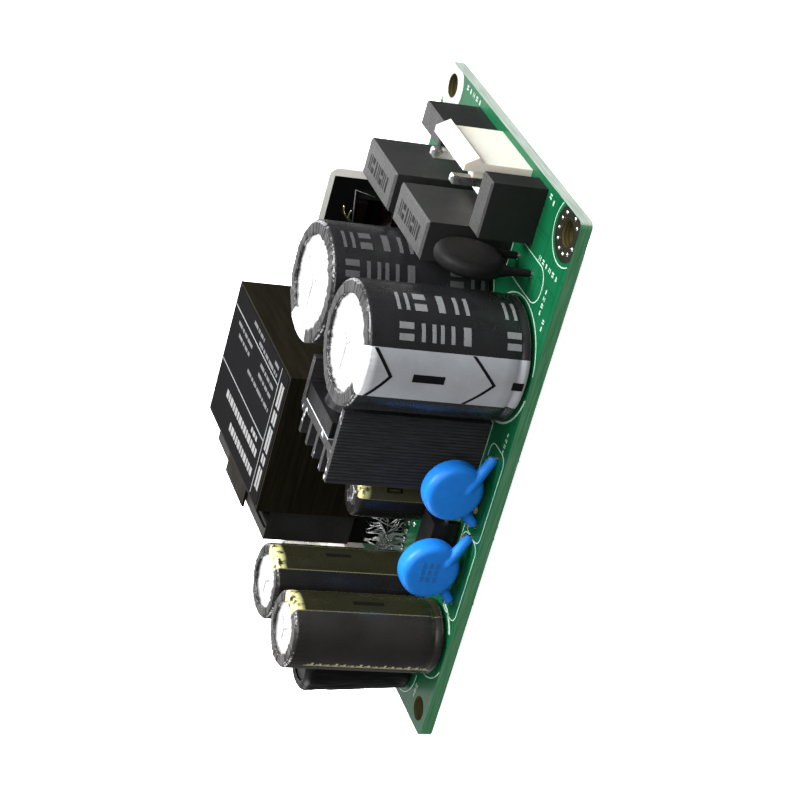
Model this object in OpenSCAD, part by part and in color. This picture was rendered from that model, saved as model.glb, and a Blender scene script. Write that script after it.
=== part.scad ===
// Open frame power supply: a 3 by 2 inch board with its through-hole parts on top
// and a few small parts underneath.
// Sizes are in millimetres. The origin is the centre of the four mounting holes on the
// board's underside, +X runs from the mains inlet to the output, +Z towards the tall parts.
// Places on the board are given as x from the inlet edge and y from the rear long edge.

/* [Circuit board] */
// Length of the board, inlet edge to output edge
board_l = 76.2; // [74:0.1:90]
// Width of the board
board_w = 50.8; // [50.4:0.1:60]
// Thickness of the board
board_t = 1.6; // [1:0.1:2.4]
// Radius of the board's corners
corner_r = 1.0; // [0.5:0.1:2]
// Diameter of the mounting holes
hole_d = 3.3; // [3.2:0.05:3.6]
// Distance of each mounting hole from the two edges next to it
hole_inset = 2.75; // [2.6:0.05:3.2]

/* [Clearances] */
// Gap between two parts that stand side by side
part_gap = 0.4; // [0.3:0.05:0.6]
// Gap between a pressed or moulded-in piece and the piece that holds it
seat_gap = 0.02; // [0.01:0.01:0.05]
// Play all round a core in its bobbin or a wrap round a core
core_gap = 0.15; // [0.1:0.05:0.25]
// Play all round a lead in its hole in the board
lead_play = 0.15; // [0.1:0.05:0.25]

/* [Leads and solder] */
// How far the trimmed leads reach below the board
lead_tail = 1.5; // [1.5:0.1:3]
// How deep a lead is held in its part
socket_depth = 1.0; // [0.6:0.1:1.5]
// Height of a solder cone under the board
solder_h = 1.0; // [0.8:0.1:1.4]
// Width of the solder ring outside the lead at the board
solder_w = 0.55; // [0.4:0.05:0.55]

/* [Headers] */
// Distance of the inlet header's back wall from the inlet edge
header_inset = 0.9; // [0.4:0.1:1.4]
// Middle of the inlet header, from the rear edge
header_y = 27.95; // [27:0.05:29]
// Depth of a header's base, front to back
header_depth = 7.2; // [7:0.1:8]
// Height of a header's base
header_base_h = 3.0; // [2.6:0.1:3.8]
// Height of a header's back wall
header_wall_h = 9.2; // [8.5:0.1:10]
// Thickness of a header's back wall
header_wall_t = 1.2; // [1:0.05:1.4]
// Distance between two places for a post
post_pitch = 3.96; // [3.9:0.01:4.1]
// Width of a square post
post_w = 1.14; // [1:0.01:1.2]
// Height of the posts above the board
post_h = 9.8; // [9.5:0.1:11]
// Distance of the posts from the header's back face
post_back = 3.2; // [3:0.1:3.5]
// Reach of the lock ridge on a header's back wall
lock_ridge = 0.75; // [0.4:0.05:0.8]
// Distance of the lock ridge below the wall's top
lock_ridge_drop = 1.7; // [1.2:0.1:2.5]
// Places in the output connector
output_ways = 5; // [3:1:5]
// Middle of the output connector, from the rear edge
output_y = 18.5; // [17:0.1:19]
// Distance of the output connector's back wall from the output edge
output_inset = 0.9; // [0.4:0.1:1.4]

/* [Fuses] */
// Length of a box fuse
fuse_l = 7.57; // [7:0.01:8.4]
// Thickness of a box fuse
fuse_t = 3.42; // [3:0.01:4]
// Height of a box fuse
fuse_h = 7.6; // [7:0.1:8.5]
// Distance between a fuse's two leads
fuse_pitch = 5.08; // [4.8:0.01:5.3]
// Diameter of a fuse lead
fuse_lead_d = 0.6; // [0.5:0.05:0.8]
// Distance of the line fuse from the inlet edge
line_fuse_inset = 1.36; // [1:0.01:2]
// Distance of the neutral fuse from the inlet edge
neutral_fuse_inset = 0.83; // [0.6:0.01:1]
// Gap between the line fuse and the header
line_fuse_gap = 1.25; // [0.8:0.05:2]
// Gap between the header and the neutral fuse
neutral_fuse_gap = 2.4; // [1.8:0.05:2.8]

/* [X capacitors] */
// Length of an X capacitor's case
xcap_l = 11.6; // [11:0.1:12]
// Thickness of an X capacitor's case
xcap_t = 5.3; // [5:0.1:6]
// Height of an X capacitor's case
xcap_h = 12.0; // [11:0.1:13]
// Gap between the header and the row of X capacitors
xcap_inset = 1.2; // [0.6:0.05:1.4]
// Start of the first X capacitor, from the rear edge
xcap_y = 8.7; // [8.4:0.1:9.2]
// Gap between the two X capacitors
xcap_spread = 2.4; // [1.6:0.1:2.6]
// Distance between an X capacitor's two leads
xcap_pitch = 10.0; // [9:0.1:10]
// Diameter of an X capacitor's lead
xcap_lead_d = 0.7; // [0.6:0.05:0.8]

/* [Thermistor] */
// Diameter of the inrush thermistor's disc
therm_d = 9.2; // [9:0.1:10.2]
// Thickness of the inrush thermistor's disc
therm_t = 2.6; // [2.6:0.1:4]
// Radius of the rounded rim of the thermistor's disc
therm_rim = 1.2; // [1:0.05:1.25]
// Distance of the disc behind the X capacitors' front face
therm_inset = 0.8; // [0.4:0.05:1]
// Height of the disc's middle above the board
therm_z = 7.5; // [7:0.1:9]
// Distance between the thermistor's two leads
therm_pitch = 5.0; // [4.5:0.1:5.5]
// Diameter of a thermistor lead
therm_lead_d = 0.8; // [0.6:0.05:1]

/* [Common-mode choke] */
// Length of the choke's ivory frame
choke_l = 15.7; // [15.5:0.1:16]
// Height of the choke's ivory frame
choke_h = 16.0; // [15.9:0.1:17]
// Depth of the choke's ivory frame
choke_d = 1.0; // [1:0.1:1.2]
// Thickness of the frame's upright bars
choke_side = 1.1; // [1:0.1:1.3]
// Thickness of the frame's top and bottom bars
choke_bar = 0.8; // [0.7:0.1:0.9]
// Radius of the frame's corners
choke_round = 1.2; // [0.8:0.1:1.4]
// Start of the choke, from the inlet edge
choke_x = 14.7; // [14.6:0.1:15]
// Distance of the choke's front face from the rear edge
choke_front = 7.8; // [7.6:0.1:8]
// Thickness of the bobbin's front plate
choke_plate_t = 0.7; // [0.6:0.1:0.8]
// Length of the window in the front plate
choke_window_l = 10.4; // [10:0.1:10.6]
// Height of the window in the front plate
choke_window_h = 8.1; // [7.6:0.1:8.4]
// Height of the window above the board
choke_window_z = 3.4; // [3.2:0.1:3.8]
// Length of the choke core
choke_core_l = 10.6; // [10.4:0.1:10.8]
// Height of the choke core
choke_core_h = 10.4; // [10:0.1:10.6]
// Depth of the choke core
choke_core_d = 2.8; // [2.6:0.1:2.8]
// Height of the choke core above the board
choke_core_z = 2.0; // [2:0.1:2.2]
// Thickness of the choke core's legs
choke_leg = 2.2; // [2:0.1:2.4]
// Thickness of the choke bobbin's tubes and flanges
choke_bobbin_t = 0.35; // [0.3:0.05:0.4]
// Thickness of the choke's windings
choke_wind_t = 0.45; // [0.35:0.05:0.45]
// Diameter of a choke pin
choke_pin_d = 0.8; // [0.6:0.05:0.9]
// Length of each foot of the choke's bobbin
choke_foot_l = 3.2; // [3:0.1:3.4]
// Gap between a foot and the frame's upright bar
choke_foot_gap = 0.2; // [0.1:0.05:0.4]
// Distance of the choke's pins from the front and back of its feet
choke_pin_in = 0.85; // [0.8:0.05:1]

/* [Bridge rectifier] */
// Length of the bridge rectifier's body
bridge_l = 14.5; // [14:0.1:15]
// Thickness of the bridge rectifier's body
bridge_t = 3.8; // [3.4:0.1:4]
// Height of the bridge rectifier's body
bridge_h = 10.7; // [10:0.1:11.5]
// Height of the bridge rectifier's underside above the board
bridge_lift = 2.5; // [2:0.1:3]
// Distance between two bridge leads
bridge_pitch = 3.81; // [3.7:0.01:3.9]
// Diameter of a bridge lead
bridge_lead_d = 0.8; // [0.6:0.05:1]
// Start of the bridge rectifier, from the rear edge
bridge_y = 2.0; // [1:0.1:3]
// Gap between the tall parts on the inlet side and the bridge rectifier
bridge_gap = 0.8; // [0.4:0.1:1]

/* [Bulk capacitors] */
// Diameter of a bulk capacitor over its sleeve
bulk_d = 16.1; // [15:0.1:16.3]
// Height of a bulk capacitor above the board
bulk_h = 21.9; // [20:0.1:25]
// Gap between the X capacitors and the bulk capacitors
bulk_inset = 0.3; // [0.2:0.05:0.6]
// Gap between the front bulk capacitor and the board's front edge
bulk_edge = 0.25; // [0.1:0.05:0.4]
// Gap between the two bulk capacitors
bulk_spread = 0.1; // [0.05:0.05:0.3]
// Distance between a bulk capacitor's two leads
bulk_pitch = 7.5; // [7:0.1:7.8]
// Diameter of a bulk capacitor's lead
bulk_lead_d = 0.8; // [0.7:0.05:0.9]

/* [Capacitor details] */
// Thickness of a capacitor's plastic sleeve
sleeve_t = 0.2; // [0.15:0.05:0.3]
// Width of the sleeve's folded rim on top of the can
sleeve_rim = 1.1; // [0.8:0.1:1.4]
// Radius of the can's top edge
can_round = 0.7; // [0.4:0.1:0.8]
// Height of the crimped groove above the can's foot
bead_z = 1.7; // [1.6:0.1:2.2]
// Depth of the crimped groove
bead_d = 0.25; // [0.15:0.05:0.3]
// Thickness of a can's wall round its rubber seal
can_wall = 0.4; // [0.3:0.05:0.5]
// Thickness of a rubber seal
seal_t = 1.8; // [1.4:0.1:2]

/* [Heat sink and transistor] */
// Length of the heat sink along X, side flanges with fins
sink_l = 10.4; // [10.2:0.1:10.8]
// Width of the heat sink
sink_w = 14.9; // [14.8:0.1:15.1]
// Height of the heat sink
sink_h = 20.0; // [19:0.1:22]
// Thickness of the heat sink's plate
sink_plate_t = 1.2; // [1:0.1:1.4]
// Distance of the plate from the flanges' inlet side
sink_plate_x = 5.8; // [5.6:0.1:6]
// Thickness of the side flanges
sink_flange_t = 1.1; // [0.9:0.1:1.2]
// Thickness of a fin
fin_t = 0.8; // [0.6:0.1:1]
// Number of fins behind the plate
fins = 4; // [3:1:4]
// Distance from the heat sink's rear side to the middle of the first fin
fin_first = 2.1; // [1.9:0.1:2.3]
// Distance between two fins
fin_step = 3.2; // [3:0.1:3.4]
// Distance between two grooves on the flanges' outer faces
groove_pitch = 0.46; // [0.4:0.02:0.8]
// Depth of the grooves on the flanges' outer faces
groove_d = 0.14; // [0.08:0.01:0.2]
// Gap between the bulk capacitors and the heat sink
sink_gap = 0.95; // [0.6:0.05:1.2]
// Diameter of a heat sink's solder pin
sink_pin_d = 1.1; // [1:0.05:1.2]
// Radius of the boss that holds a solder pin
sink_boss_r = 0.95; // [0.9:0.05:1]
// Distance of the pins from the heat sink's sides
sink_pin_in = 1.2; // [1.1:0.05:1.4]
// How far the pins reach into the heat sink
sink_pin_h = 4.0; // [3:0.1:6]
// Width of the transistor's body
tran_w = 10.3; // [10:0.1:10.4]
// Offset of the transistor from the heat sink's middle
tran_shift = 0.6; // [0.4:0.1:0.7]
// Height of the transistor's body
tran_h = 15.9; // [15:0.1:16.4]
// Thickness of the transistor's body
tran_t = 4.5; // [4.3:0.1:4.7]
// Thickness of the transistor's tab
tran_tab_t = 2.3; // [2:0.1:2.8]
// Height of the transistor's tab
tran_tab_h = 6.4; // [6:0.1:7]
// Distance between two transistor leads
tran_pitch = 2.54; // [2.5:0.01:2.6]
// Diameter of a transistor lead
tran_lead_d = 0.75; // [0.6:0.05:0.9]
// Distance of the leads from the transistor's back
tran_lead_back = 2.5; // [2.3:0.1:2.8]
// Thickness of the insulating pad
pad_t = 0.2; // [0.15:0.05:0.3]
// Diameter of the screw's thread
screw_d = 3.0; // [2.8:0.1:3]
// Diameter of the screw's head
screw_head_d = 5.5; // [5:0.1:5.8]
// Height of the screw's head
screw_head_h = 1.6; // [1.4:0.1:2]

/* [Transformer] */
// Length of the transformer core along X
core_l = 24.5; // [24.3:0.1:25]
// Width of the transformer core
core_w = 26.5; // [26:0.1:27]
// Depth of the transformer core, which stands upright
core_d = 12.2; // [12:0.1:12.8]
// Thickness of the core's end bars
core_yoke = 4.6; // [4.2:0.1:4.8]
// Thickness of the core's outer legs
core_leg = 3.6; // [3.2:0.1:3.8]
// Width of the core's middle leg
core_mid = 7.6; // [7:0.1:8]
// Height of the core's underside above the board
core_z = 7.6; // [7.4:0.1:8]
// Gap between the two core halves
core_split = 0.1; // [0.05:0.05:0.2]
// Start of the wrap, from the rear edge
trafo_y = 1.0; // [0.6:0.1:1.2]
// Height of the bobbin's flanges above the core
flange_rise = 1.55; // [1.4:0.05:2]
// Thickness of the tape wrap
wrap_t = 0.35; // [0.25:0.05:0.45]
// Length of the wrap along X
wrap_l = 20.4; // [20:0.1:20.8]
// Thickness of the label
label_t = 0.12; // [0.08:0.02:0.2]
// Margin of the wrap around the label
label_margin = 0.4; // [0.2:0.05:0.6]
// Thickness of the bobbin's walls
bobbin_t = 0.8; // [0.6:0.05:0.9]
// Height of the bobbin's pin rails
rail_h = 4.2; // [4:0.1:4.4]
// Length of a pin rail along X
rail_l = 8.6; // [8.2:0.1:9]
// Gap between the winding and the wrap above it
winding_gap = 0.3; // [0.2:0.05:0.5]
// Pins in the output side's rail
output_pins = 5; // [3:1:5]
// Pins in the inlet side's rail
inlet_pins = 4; // [3:1:5]
// Distance between two transformer pins
trafo_pitch = 5.0; // [4.6:0.1:5.2]
// Diameter of a transformer pin
trafo_pin_d = 0.8; // [0.6:0.05:1]
// Diameter of a flying lead
wire_d = 0.7; // [0.5:0.05:0.8]
// Distance between two flying leads
wire_pitch = 1.3; // [1.25:0.05:1.4]
// Number of flying leads
wires = 4; // [2:1:4]
// How far the flying leads stand off the rail
wire_reach = 1.4; // [1.2:0.05:1.5]

/* [Y capacitors] */
// Diameter of a Y capacitor's disc
ycap_d = 8.0; // [7:0.1:8.4]
// Thickness of a Y capacitor's disc
ycap_t = 3.4; // [3:0.1:4.2]
// Radius of the rounded rim of a Y capacitor's disc
ycap_rim = 1.3; // [1:0.05:1.4]
// Height of the disc's middle above the board
ycap_z = 4.6; // [4.4:0.05:6]
// Distance between a Y capacitor's two leads
ycap_pitch = 10.0; // [9.6:0.1:10.2]
// Diameter of the coating on a lead
ycap_coat_d = 1.3; // [1.1:0.05:1.4]
// Diameter of a Y capacitor's lead
ycap_lead_d = 0.6; // [0.5:0.05:0.7]
// Gap between the Y capacitors and the front output capacitor
ycap_gap = 1.2; // [0.3:0.05:1.4]
// Distance from the first Y capacitor to the second
ycap_spread = 11.8; // [11.7:0.1:12]
// Distance of the Y capacitors' middle from the front edge
ycap_inset = 3.0; // [2.6:0.1:3.2]

/* [Bias capacitor] */
// Diameter of the bias capacitor over its sleeve
bias_d = 6.3; // [5:0.1:6.5]
// Height of the bias capacitor above the board
bias_h = 12.8; // [11:0.1:14]
// Gap between the heat sink's fins and the bias capacitor
bias_gap = 2.15; // [1.6:0.05:2.4]
// Middle of the bias capacitor, from the front edge
bias_inset = 14.3; // [14:0.1:15]
// Distance between the bias capacitor's leads
bias_pitch = 2.5; // [2.2:0.1:2.8]
// Diameter of the bias capacitor's leads
bias_lead_d = 0.5; // [0.4:0.05:0.6]

/* [Optocoupler] */
// Length of the optocoupler's body along X
opto_l = 6.5; // [6.2:0.1:6.8]
// Width of the optocoupler's body
opto_w = 4.6; // [4.2:0.1:4.8]
// Height of the optocoupler's body
opto_h = 3.4; // [3:0.1:3.8]
// Height of the body's underside above the board
opto_lift = 0.5; // [0.3:0.05:0.7]
// Distance between the two rows of leads
opto_rows = 7.62; // [7.5:0.01:7.8]
// Distance between two leads of a row
opto_pitch = 2.54; // [2.4:0.01:2.6]
// Width of a lead
opto_lead_w = 0.5; // [0.4:0.05:0.6]
// Gap between the optocoupler's leads and the output capacitors, along X
opto_gap = 4.14; // [3.8:0.01:4.4]
// Middle of the optocoupler, from the front edge
opto_inset = 8.4; // [8.2:0.05:8.5]

/* [Output side] */
// Diameter of an output capacitor over its sleeve
out_d = 10.1; // [9.5:0.1:10.1]
// Height of an output capacitor above the board
out_h = 21.0; // [18:0.1:23]
// Middle of the front output capacitor, from the output edge
out_inset = 12.8; // [12.6:0.1:13]
// Offset of the rear output capacitor towards the inlet
out_shift = 0.6; // [0:0.1:0.8]
// Gap between the front output capacitor and the board's front edge
out_edge = 0.15; // [0.1:0.05:0.2]
// Gap between the two output capacitors
out_spread = 0.1; // [0.05:0.05:0.2]
// Distance between an output capacitor's two leads
out_pitch = 5.0; // [4.6:0.1:5.2]
// Diameter of an output capacitor's lead
out_lead_d = 0.6; // [0.5:0.05:0.7]
// Diameter of the output choke over its sleeve
rod_d = 8.0; // [7.5:0.1:8.1]
// Height of the output choke above the board
rod_h = 15.3; // [14:0.1:17]
// Gap between the output choke's foot and the output edge
rod_edge = 1.3; // [1.2:0.05:1.35]
// Lean of the output choke towards the output edge
rod_lean = 5; // [0:0.5:5]
// Distance from the output choke to the corner's mounting hole along Y
rod_offset = 7.85; // [7.8:0.05:8.2]
// Diameter of the output choke's ferrite rod
rod_core_d = 5.0; // [4.6:0.1:5.2]
// Diameter of the output choke's leads
rod_lead_d = 0.9; // [0.7:0.05:1]

/* [Underside parts] */
// Length of the controller's body
ic_l = 4.9; // [4.6:0.1:5.1]
// Width of the controller's body
ic_w = 3.9; // [3.6:0.1:4]
// Thickness of the controller's body
ic_h = 1.2; // [1:0.05:1.3]
// Distance between two of the controller's leads
ic_pitch = 1.27; // [1.2:0.01:1.3]
// Width of a controller lead
ic_lead_w = 0.4; // [0.3:0.05:0.5]
// Reach of a controller lead outside the body
ic_lead_l = 1.0; // [0.8:0.05:1.2]
// Thickness of a controller lead
ic_lead_t = 0.2; // [0.15:0.05:0.25]
// Length of the output rectifier's body
rect_l = 6.0; // [5.6:0.1:6.2]
// Width of the output rectifier's body
rect_w = 5.0; // [4.6:0.1:5.2]
// Thickness of the output rectifier's body
rect_h = 1.1; // [0.9:0.05:1.3]
// Length of a chip resistor or chip capacitor
chip_l = 2.0; // [1.8:0.05:2.2]
// Width of a chip resistor or chip capacitor
chip_w = 1.25; // [1.1:0.05:1.4]
// Thickness of a chip resistor
chip_resistor_h = 0.5; // [0.4:0.05:0.6]
// Thickness of a chip capacitor
chip_capacitor_h = 0.9; // [0.7:0.05:1.1]

/* [Hidden] */
$fn = 64;

// Overlap that makes a cut come out cleanly.
cut = 0.5;

// Places of the inlet parts.
header_l = 3 * post_pitch;
header_x = header_inset;
post_x = header_x + post_back;
xcap_x = header_x + header_depth + xcap_inset;
line_fuse_y = header_y - header_l / 2 - line_fuse_gap - fuse_l / 2;
neutral_fuse_y = header_y + header_l / 2 + neutral_fuse_gap + fuse_t / 2;
line_fuse_x = line_fuse_inset + fuse_t / 2;
neutral_fuse_x = neutral_fuse_inset + fuse_l / 2;
xcap_mid_x = xcap_x + xcap_t / 2;
xcap_1_y = xcap_y + xcap_l / 2;
xcap_2_y = xcap_1_y + xcap_l + xcap_spread;
choke_mid_x = choke_x + choke_l / 2;
choke_wrap = core_gap + choke_bobbin_t + choke_wind_t;
choke_rear = choke_front - choke_d;
choke_plate_y = choke_front - choke_plate_t - seat_gap;
choke_core_x = choke_mid_x - choke_core_l / 2;
choke_core_y = choke_plate_y - choke_wrap - 0.05 - choke_core_d;
choke_back = choke_core_y - choke_wrap;
choke_leg_zs = [choke_core_z, choke_core_z + choke_core_h - choke_leg];
choke_wind_l = choke_core_l - 2 * (choke_leg + core_gap + choke_bobbin_t);
therm_x = xcap_x + therm_t / 2 + therm_inset;
therm_y = xcap_2_y + xcap_l / 2 + part_gap + therm_d / 2;

// Places of the bulk capacitors.
bulk_r = bulk_d / 2;
bulk_x = xcap_x + xcap_t + bulk_inset + bulk_r;
bulk_1_y = board_w - bulk_edge - bulk_r;
bulk_2_y = bulk_1_y - bulk_d - bulk_spread;

// Places of the bridge rectifier, the transformer and the heat sink.
inlet_end_x = max(bulk_x + bulk_r, choke_x + choke_l);
bridge_x = inlet_end_x + bridge_gap;
bridge_mid_x = bridge_x + bridge_t / 2;
trafo_x = bridge_x + bridge_t + part_gap;
core_x = trafo_x + wrap_t + core_gap;
core_y = trafo_y + wrap_t + core_gap;
core_mid_y = core_y + core_w / 2;
core_top = core_z + core_d;
trafo_h = core_top + flange_rise + winding_gap + wrap_t;
wrap_w = core_w + 2 * (wrap_t + core_gap);
sink_x = bulk_x + bulk_r + sink_gap;
sink_y = trafo_y + wrap_w + part_gap;
sink_face_x = sink_x + sink_plate_x;
sink_mid_y = sink_y + sink_w / 2;
tran_y = sink_mid_y - tran_shift;
tran_back_x = sink_face_x - pad_t;
tran_z = sink_h - tran_h;
tran_lead_x = tran_back_x - tran_lead_back;
screw_z = sink_h - tran_tab_h / 2;

// Places of the output parts.
ycap_y = board_w - ycap_inset;
bias_x = sink_x + sink_l + bias_gap + bias_d / 2;
bias_y = board_w - bias_inset;
opto_y = board_w - opto_inset;
out_x = board_l - out_inset;
out_start_x = out_x - out_d / 2;
ycap_x = out_start_x - ycap_gap - (ycap_pitch + ycap_coat_d) / 2 - ycap_spread;
opto_x = out_start_x - opto_gap - (opto_rows + opto_lead_w) / 2;
out_1_y = board_w - out_edge - out_d / 2;
out_2_y = out_1_y - out_d - out_spread;
rod_x = board_l - rod_edge - rod_d / 2;
rod_y = board_w - hole_inset - rod_offset;
output_l = output_ways * post_pitch;
output_x = board_l - output_inset;
output_post_x = output_x - post_back;

// Pin rails of the transformer's bobbin.
rail_z = core_z - core_gap - rail_h;
rail_w = core_w - 1;
wire_y = core_mid_y + rail_w / 2 + wire_reach;
wire_z = rail_z + rail_h / 2;

// Each spot is [x, y, diameter] of one lead that passes through the board.
post_diag = post_w * sqrt(2);
function pair_x(x, y, pitch, d) = [for (s = [-1, 1]) [x + s * pitch / 2, y, d]];
function pair_y(x, y, pitch, d) = [for (s = [-1, 1]) [x, y + s * pitch / 2, d]];
function row_y(x, y, pitch, n, d) = [for (i = [0 : n - 1]) [x, y + (i - (n - 1) / 2) * pitch, d]];

inlet_post_spots = pair_y(post_x, header_y, 2 * post_pitch, post_diag);
output_post_spots = row_y(output_post_x, output_y, post_pitch, output_ways, post_diag);
line_fuse_spots = pair_y(line_fuse_x, line_fuse_y, fuse_pitch, fuse_lead_d);
neutral_fuse_spots = pair_x(neutral_fuse_x, neutral_fuse_y, fuse_pitch, fuse_lead_d);
fuse_spots = concat(line_fuse_spots, neutral_fuse_spots);
xcap_spots = concat(pair_y(xcap_mid_x, xcap_1_y, xcap_pitch, xcap_lead_d),
                    pair_y(xcap_mid_x, xcap_2_y, xcap_pitch, xcap_lead_d));
therm_spots = pair_y(therm_x, therm_y, therm_pitch, therm_lead_d);
choke_foot_x = choke_x + choke_side + choke_foot_gap;
choke_spots = [for (x = [choke_foot_x + choke_foot_l / 2, 2 * choke_mid_x - choke_foot_x - choke_foot_l / 2])
               for (y = [choke_back + choke_pin_in, choke_rear - choke_pin_in]) [x, y, choke_pin_d]];
bridge_spots = row_y(bridge_mid_x, bridge_y + bridge_l / 2, bridge_pitch, 4, bridge_lead_d);
bulk_1_spots = pair_x(bulk_x, bulk_1_y, bulk_pitch, bulk_lead_d);
bulk_2_spots = pair_x(bulk_x, bulk_2_y, bulk_pitch, bulk_lead_d);
bias_spots = pair_x(bias_x, bias_y, bias_pitch, bias_lead_d);
out_1_spots = pair_x(out_x, out_1_y, out_pitch, out_lead_d);
out_2_spots = pair_x(out_x - out_shift, out_2_y, out_pitch, out_lead_d);
can_spots = concat(bulk_1_spots, bulk_2_spots, bias_spots, out_1_spots, out_2_spots);
sink_boss_x = sink_face_x + sink_boss_r;
sink_pin_spots = pair_y(sink_boss_x, sink_mid_y, sink_w - 2 * sink_pin_in, sink_pin_d);
tran_spots = row_y(tran_lead_x, tran_y, tran_pitch, 3, tran_lead_d);
trafo_spots = concat(
    row_y(core_x + 1.5, core_mid_y, trafo_pitch, inlet_pins, trafo_pin_d),
    row_y(core_x + core_l - 1.5, core_mid_y, trafo_pitch, output_pins, trafo_pin_d));
wire_spots = [for (i = [0 : wires - 1]) [core_x + core_l - 0.8 - i * wire_pitch, wire_y, wire_d]];
ycap_spots = concat(pair_x(ycap_x, ycap_y, ycap_pitch, ycap_lead_d),
                    pair_x(ycap_x + ycap_spread, ycap_y, ycap_pitch, ycap_lead_d));
opto_spots = [for (x = [-1, 1]) for (y = [-1, 1])
              [opto_x + x * opto_rows / 2, opto_y + y * opto_pitch / 2, opto_lead_w * sqrt(2)]];
rod_pitch = rod_d - 2;
rod_spots = pair_y(rod_x, rod_y, rod_pitch, rod_lead_d);
all_spots = concat(inlet_post_spots, output_post_spots, fuse_spots, xcap_spots, therm_spots,
                   choke_spots, bridge_spots, can_spots, sink_pin_spots, tran_spots,
                   trafo_spots, wire_spots, ycap_spots, opto_spots, rod_spots);

// Colours.
board_green = [0.03, 0.33, 0.16];
tin = [0.78, 0.79, 0.8];
ivory = [0.93, 0.91, 0.83];
case_grey = [0.33, 0.33, 0.34];
mould_black = [0.09, 0.09, 0.1];
sleeve_black = [0.12, 0.12, 0.13];
ferrite = [0.22, 0.22, 0.22];
copper = [0.72, 0.4, 0.22];
blue = [0.1, 0.4, 0.85];
tape_brown = [0.13, 0.1, 0.07];

// Puts a shape at a place on the board, with z counted from the board's top face.
module at(x, y, z = 0) {
    translate([x - board_l / 2, y - board_w / 2, board_t + z]) children();
}

// Round leads from the trimmed end under the board up to a height above it.
module leads(spots, top) {
    length = top + board_t + lead_tail;
    for (s = spots) at(s[0], s[1], -board_t - lead_tail) cylinder(h = length, d = s[2]);
}

// Holes for leads that are held in a part, from a height upwards.
module sockets(spots, z) {
    for (s = spots) at(s[0], s[1], z - cut) cylinder(h = socket_depth + cut, d = s[2] + 2 * seat_gap);
}

// A box that stands on the board with bevelled edges round its top.
module box_case(size, bevel) {
    intersection() {
        rotate([90, 0, 0]) linear_extrude(size[1], center = true) bevelled(size[0], size[2], bevel);
        rotate([90, 0, 90]) linear_extrude(size[0], center = true) bevelled(size[1], size[2], bevel);
    }
}

module bevelled(w, h, bevel) {
    polygon([[-w / 2, 0], [w / 2, 0], [w / 2, h - bevel], [w / 2 - bevel, h], [bevel - w / 2, h],
             [-w / 2, h - bevel]]);
}

// Square posts with a pointed tip.
module posts(spots) {
    for (s = spots) at(s[0], s[1], -board_t - lead_tail)
        box_case([post_w, post_w, post_h + board_t + lead_tail], post_w / 4);
}

// The board
module circuit_board() {
    color(board_green) difference() {
        at(0, 0, -board_t) linear_extrude(board_t) difference() {
            rounded(board_l, board_w, corner_r);
            for (x = [hole_inset, board_l - hole_inset])
                for (y = [hole_inset, board_w - hole_inset]) translate([x, y]) circle(d = hole_d);
        }
        for (s = all_spots) at(s[0], s[1], -board_t - cut)
            cylinder(h = board_t + 2 * cut, d = s[2] + 2 * lead_play);
    }
}

// A rectangle with round corners.
module rounded(l, w, r) {
    translate([r, 0]) square([l - 2 * r, w]);
    translate([0, r]) square([l, w - 2 * r]);
    for (x = [r, l - r]) for (y = [r, w - r]) translate([x, y]) circle(r);
}

module solder_joints() {
    color(tin) for (s = all_spots) at(s[0], s[1], -board_t - solder_h) difference() {
        cylinder(h = solder_h, d1 = s[2] + 0.3, d2 = s[2] + 2 * solder_w);
        translate([0, 0, -cut]) cylinder(h = solder_h + 2 * cut, d = s[2] + 2 * seat_gap);
    }
}

// Headers. The back wall's outer face is at x = 0 with a lock ridge along its top, the base
// reaches towards +X, and y = 0 is the middle.
module header_housing(length, spots_y) {
    rib = 0.9;
    rib_w = 2.2;
    ridge_z = header_wall_h - lock_ridge_drop;
    difference() {
        union() {
            translate([0, -length / 2, 0]) cube([header_depth, length, header_base_h]);
            translate([0, length / 2, 0]) rotate([90, 0, 0]) linear_extrude(length) polygon([
                [0, 0], [header_wall_t, 0], [header_wall_t, header_wall_h],
                [header_wall_t / 4, header_wall_h], [-lock_ridge, ridge_z], [0, ridge_z - lock_ridge]]);
            for (side = [-1, 1]) translate([0, side * (length / 2 - rib_w / 2 - 0.4) - rib_w / 2, 0])
                cube([header_wall_t + rib, rib_w, header_wall_h - 1.6]);
        }
        for (y = spots_y) translate([post_back - post_w / 2 - seat_gap, y - post_w / 2 - seat_gap, -cut])
            cube([post_w + 2 * seat_gap, post_w + 2 * seat_gap, header_base_h + 2 * cut]);
    }
}

module inlet_header_housing() {
    color(ivory) at(header_x, header_y)
        header_housing(header_l, [for (s = inlet_post_spots) s[1] - header_y]);
}

module inlet_header_posts() {
    color(tin) posts(inlet_post_spots);
}

module output_connector_housing() {
    color(ivory) at(output_x, output_y) mirror([1, 0, 0])
        header_housing(output_l, [for (s = output_post_spots) s[1] - output_y]);
}

module output_connector_posts() {
    color(tin) posts(output_post_spots);
}

// Fuses and film capacitors: moulded boxes.
module fuse_body(x, y, turn, spots) {
    color(mould_black) difference() {
        at(x, y) rotate([0, 0, turn]) box_case([fuse_t, fuse_l, fuse_h], 0.25);
        sockets(spots, 0);
    }
}

module line_fuse_body() {
    fuse_body(line_fuse_x, line_fuse_y, 0, line_fuse_spots);
}

module neutral_fuse_body() {
    fuse_body(neutral_fuse_x, neutral_fuse_y, 90, neutral_fuse_spots);
}

module fuse_leads() {
    color(tin) leads(fuse_spots, socket_depth);
}

module x_capacitor_case(y) {
    color(case_grey) difference() {
        at(xcap_mid_x, y) box_case([xcap_t, xcap_l, xcap_h], 0.3);
        sockets(xcap_spots, 0);
    }
}

module x_capacitor_1_case() {
    x_capacitor_case(xcap_1_y);
}

module x_capacitor_2_case() {
    x_capacitor_case(xcap_2_y);
}

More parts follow.
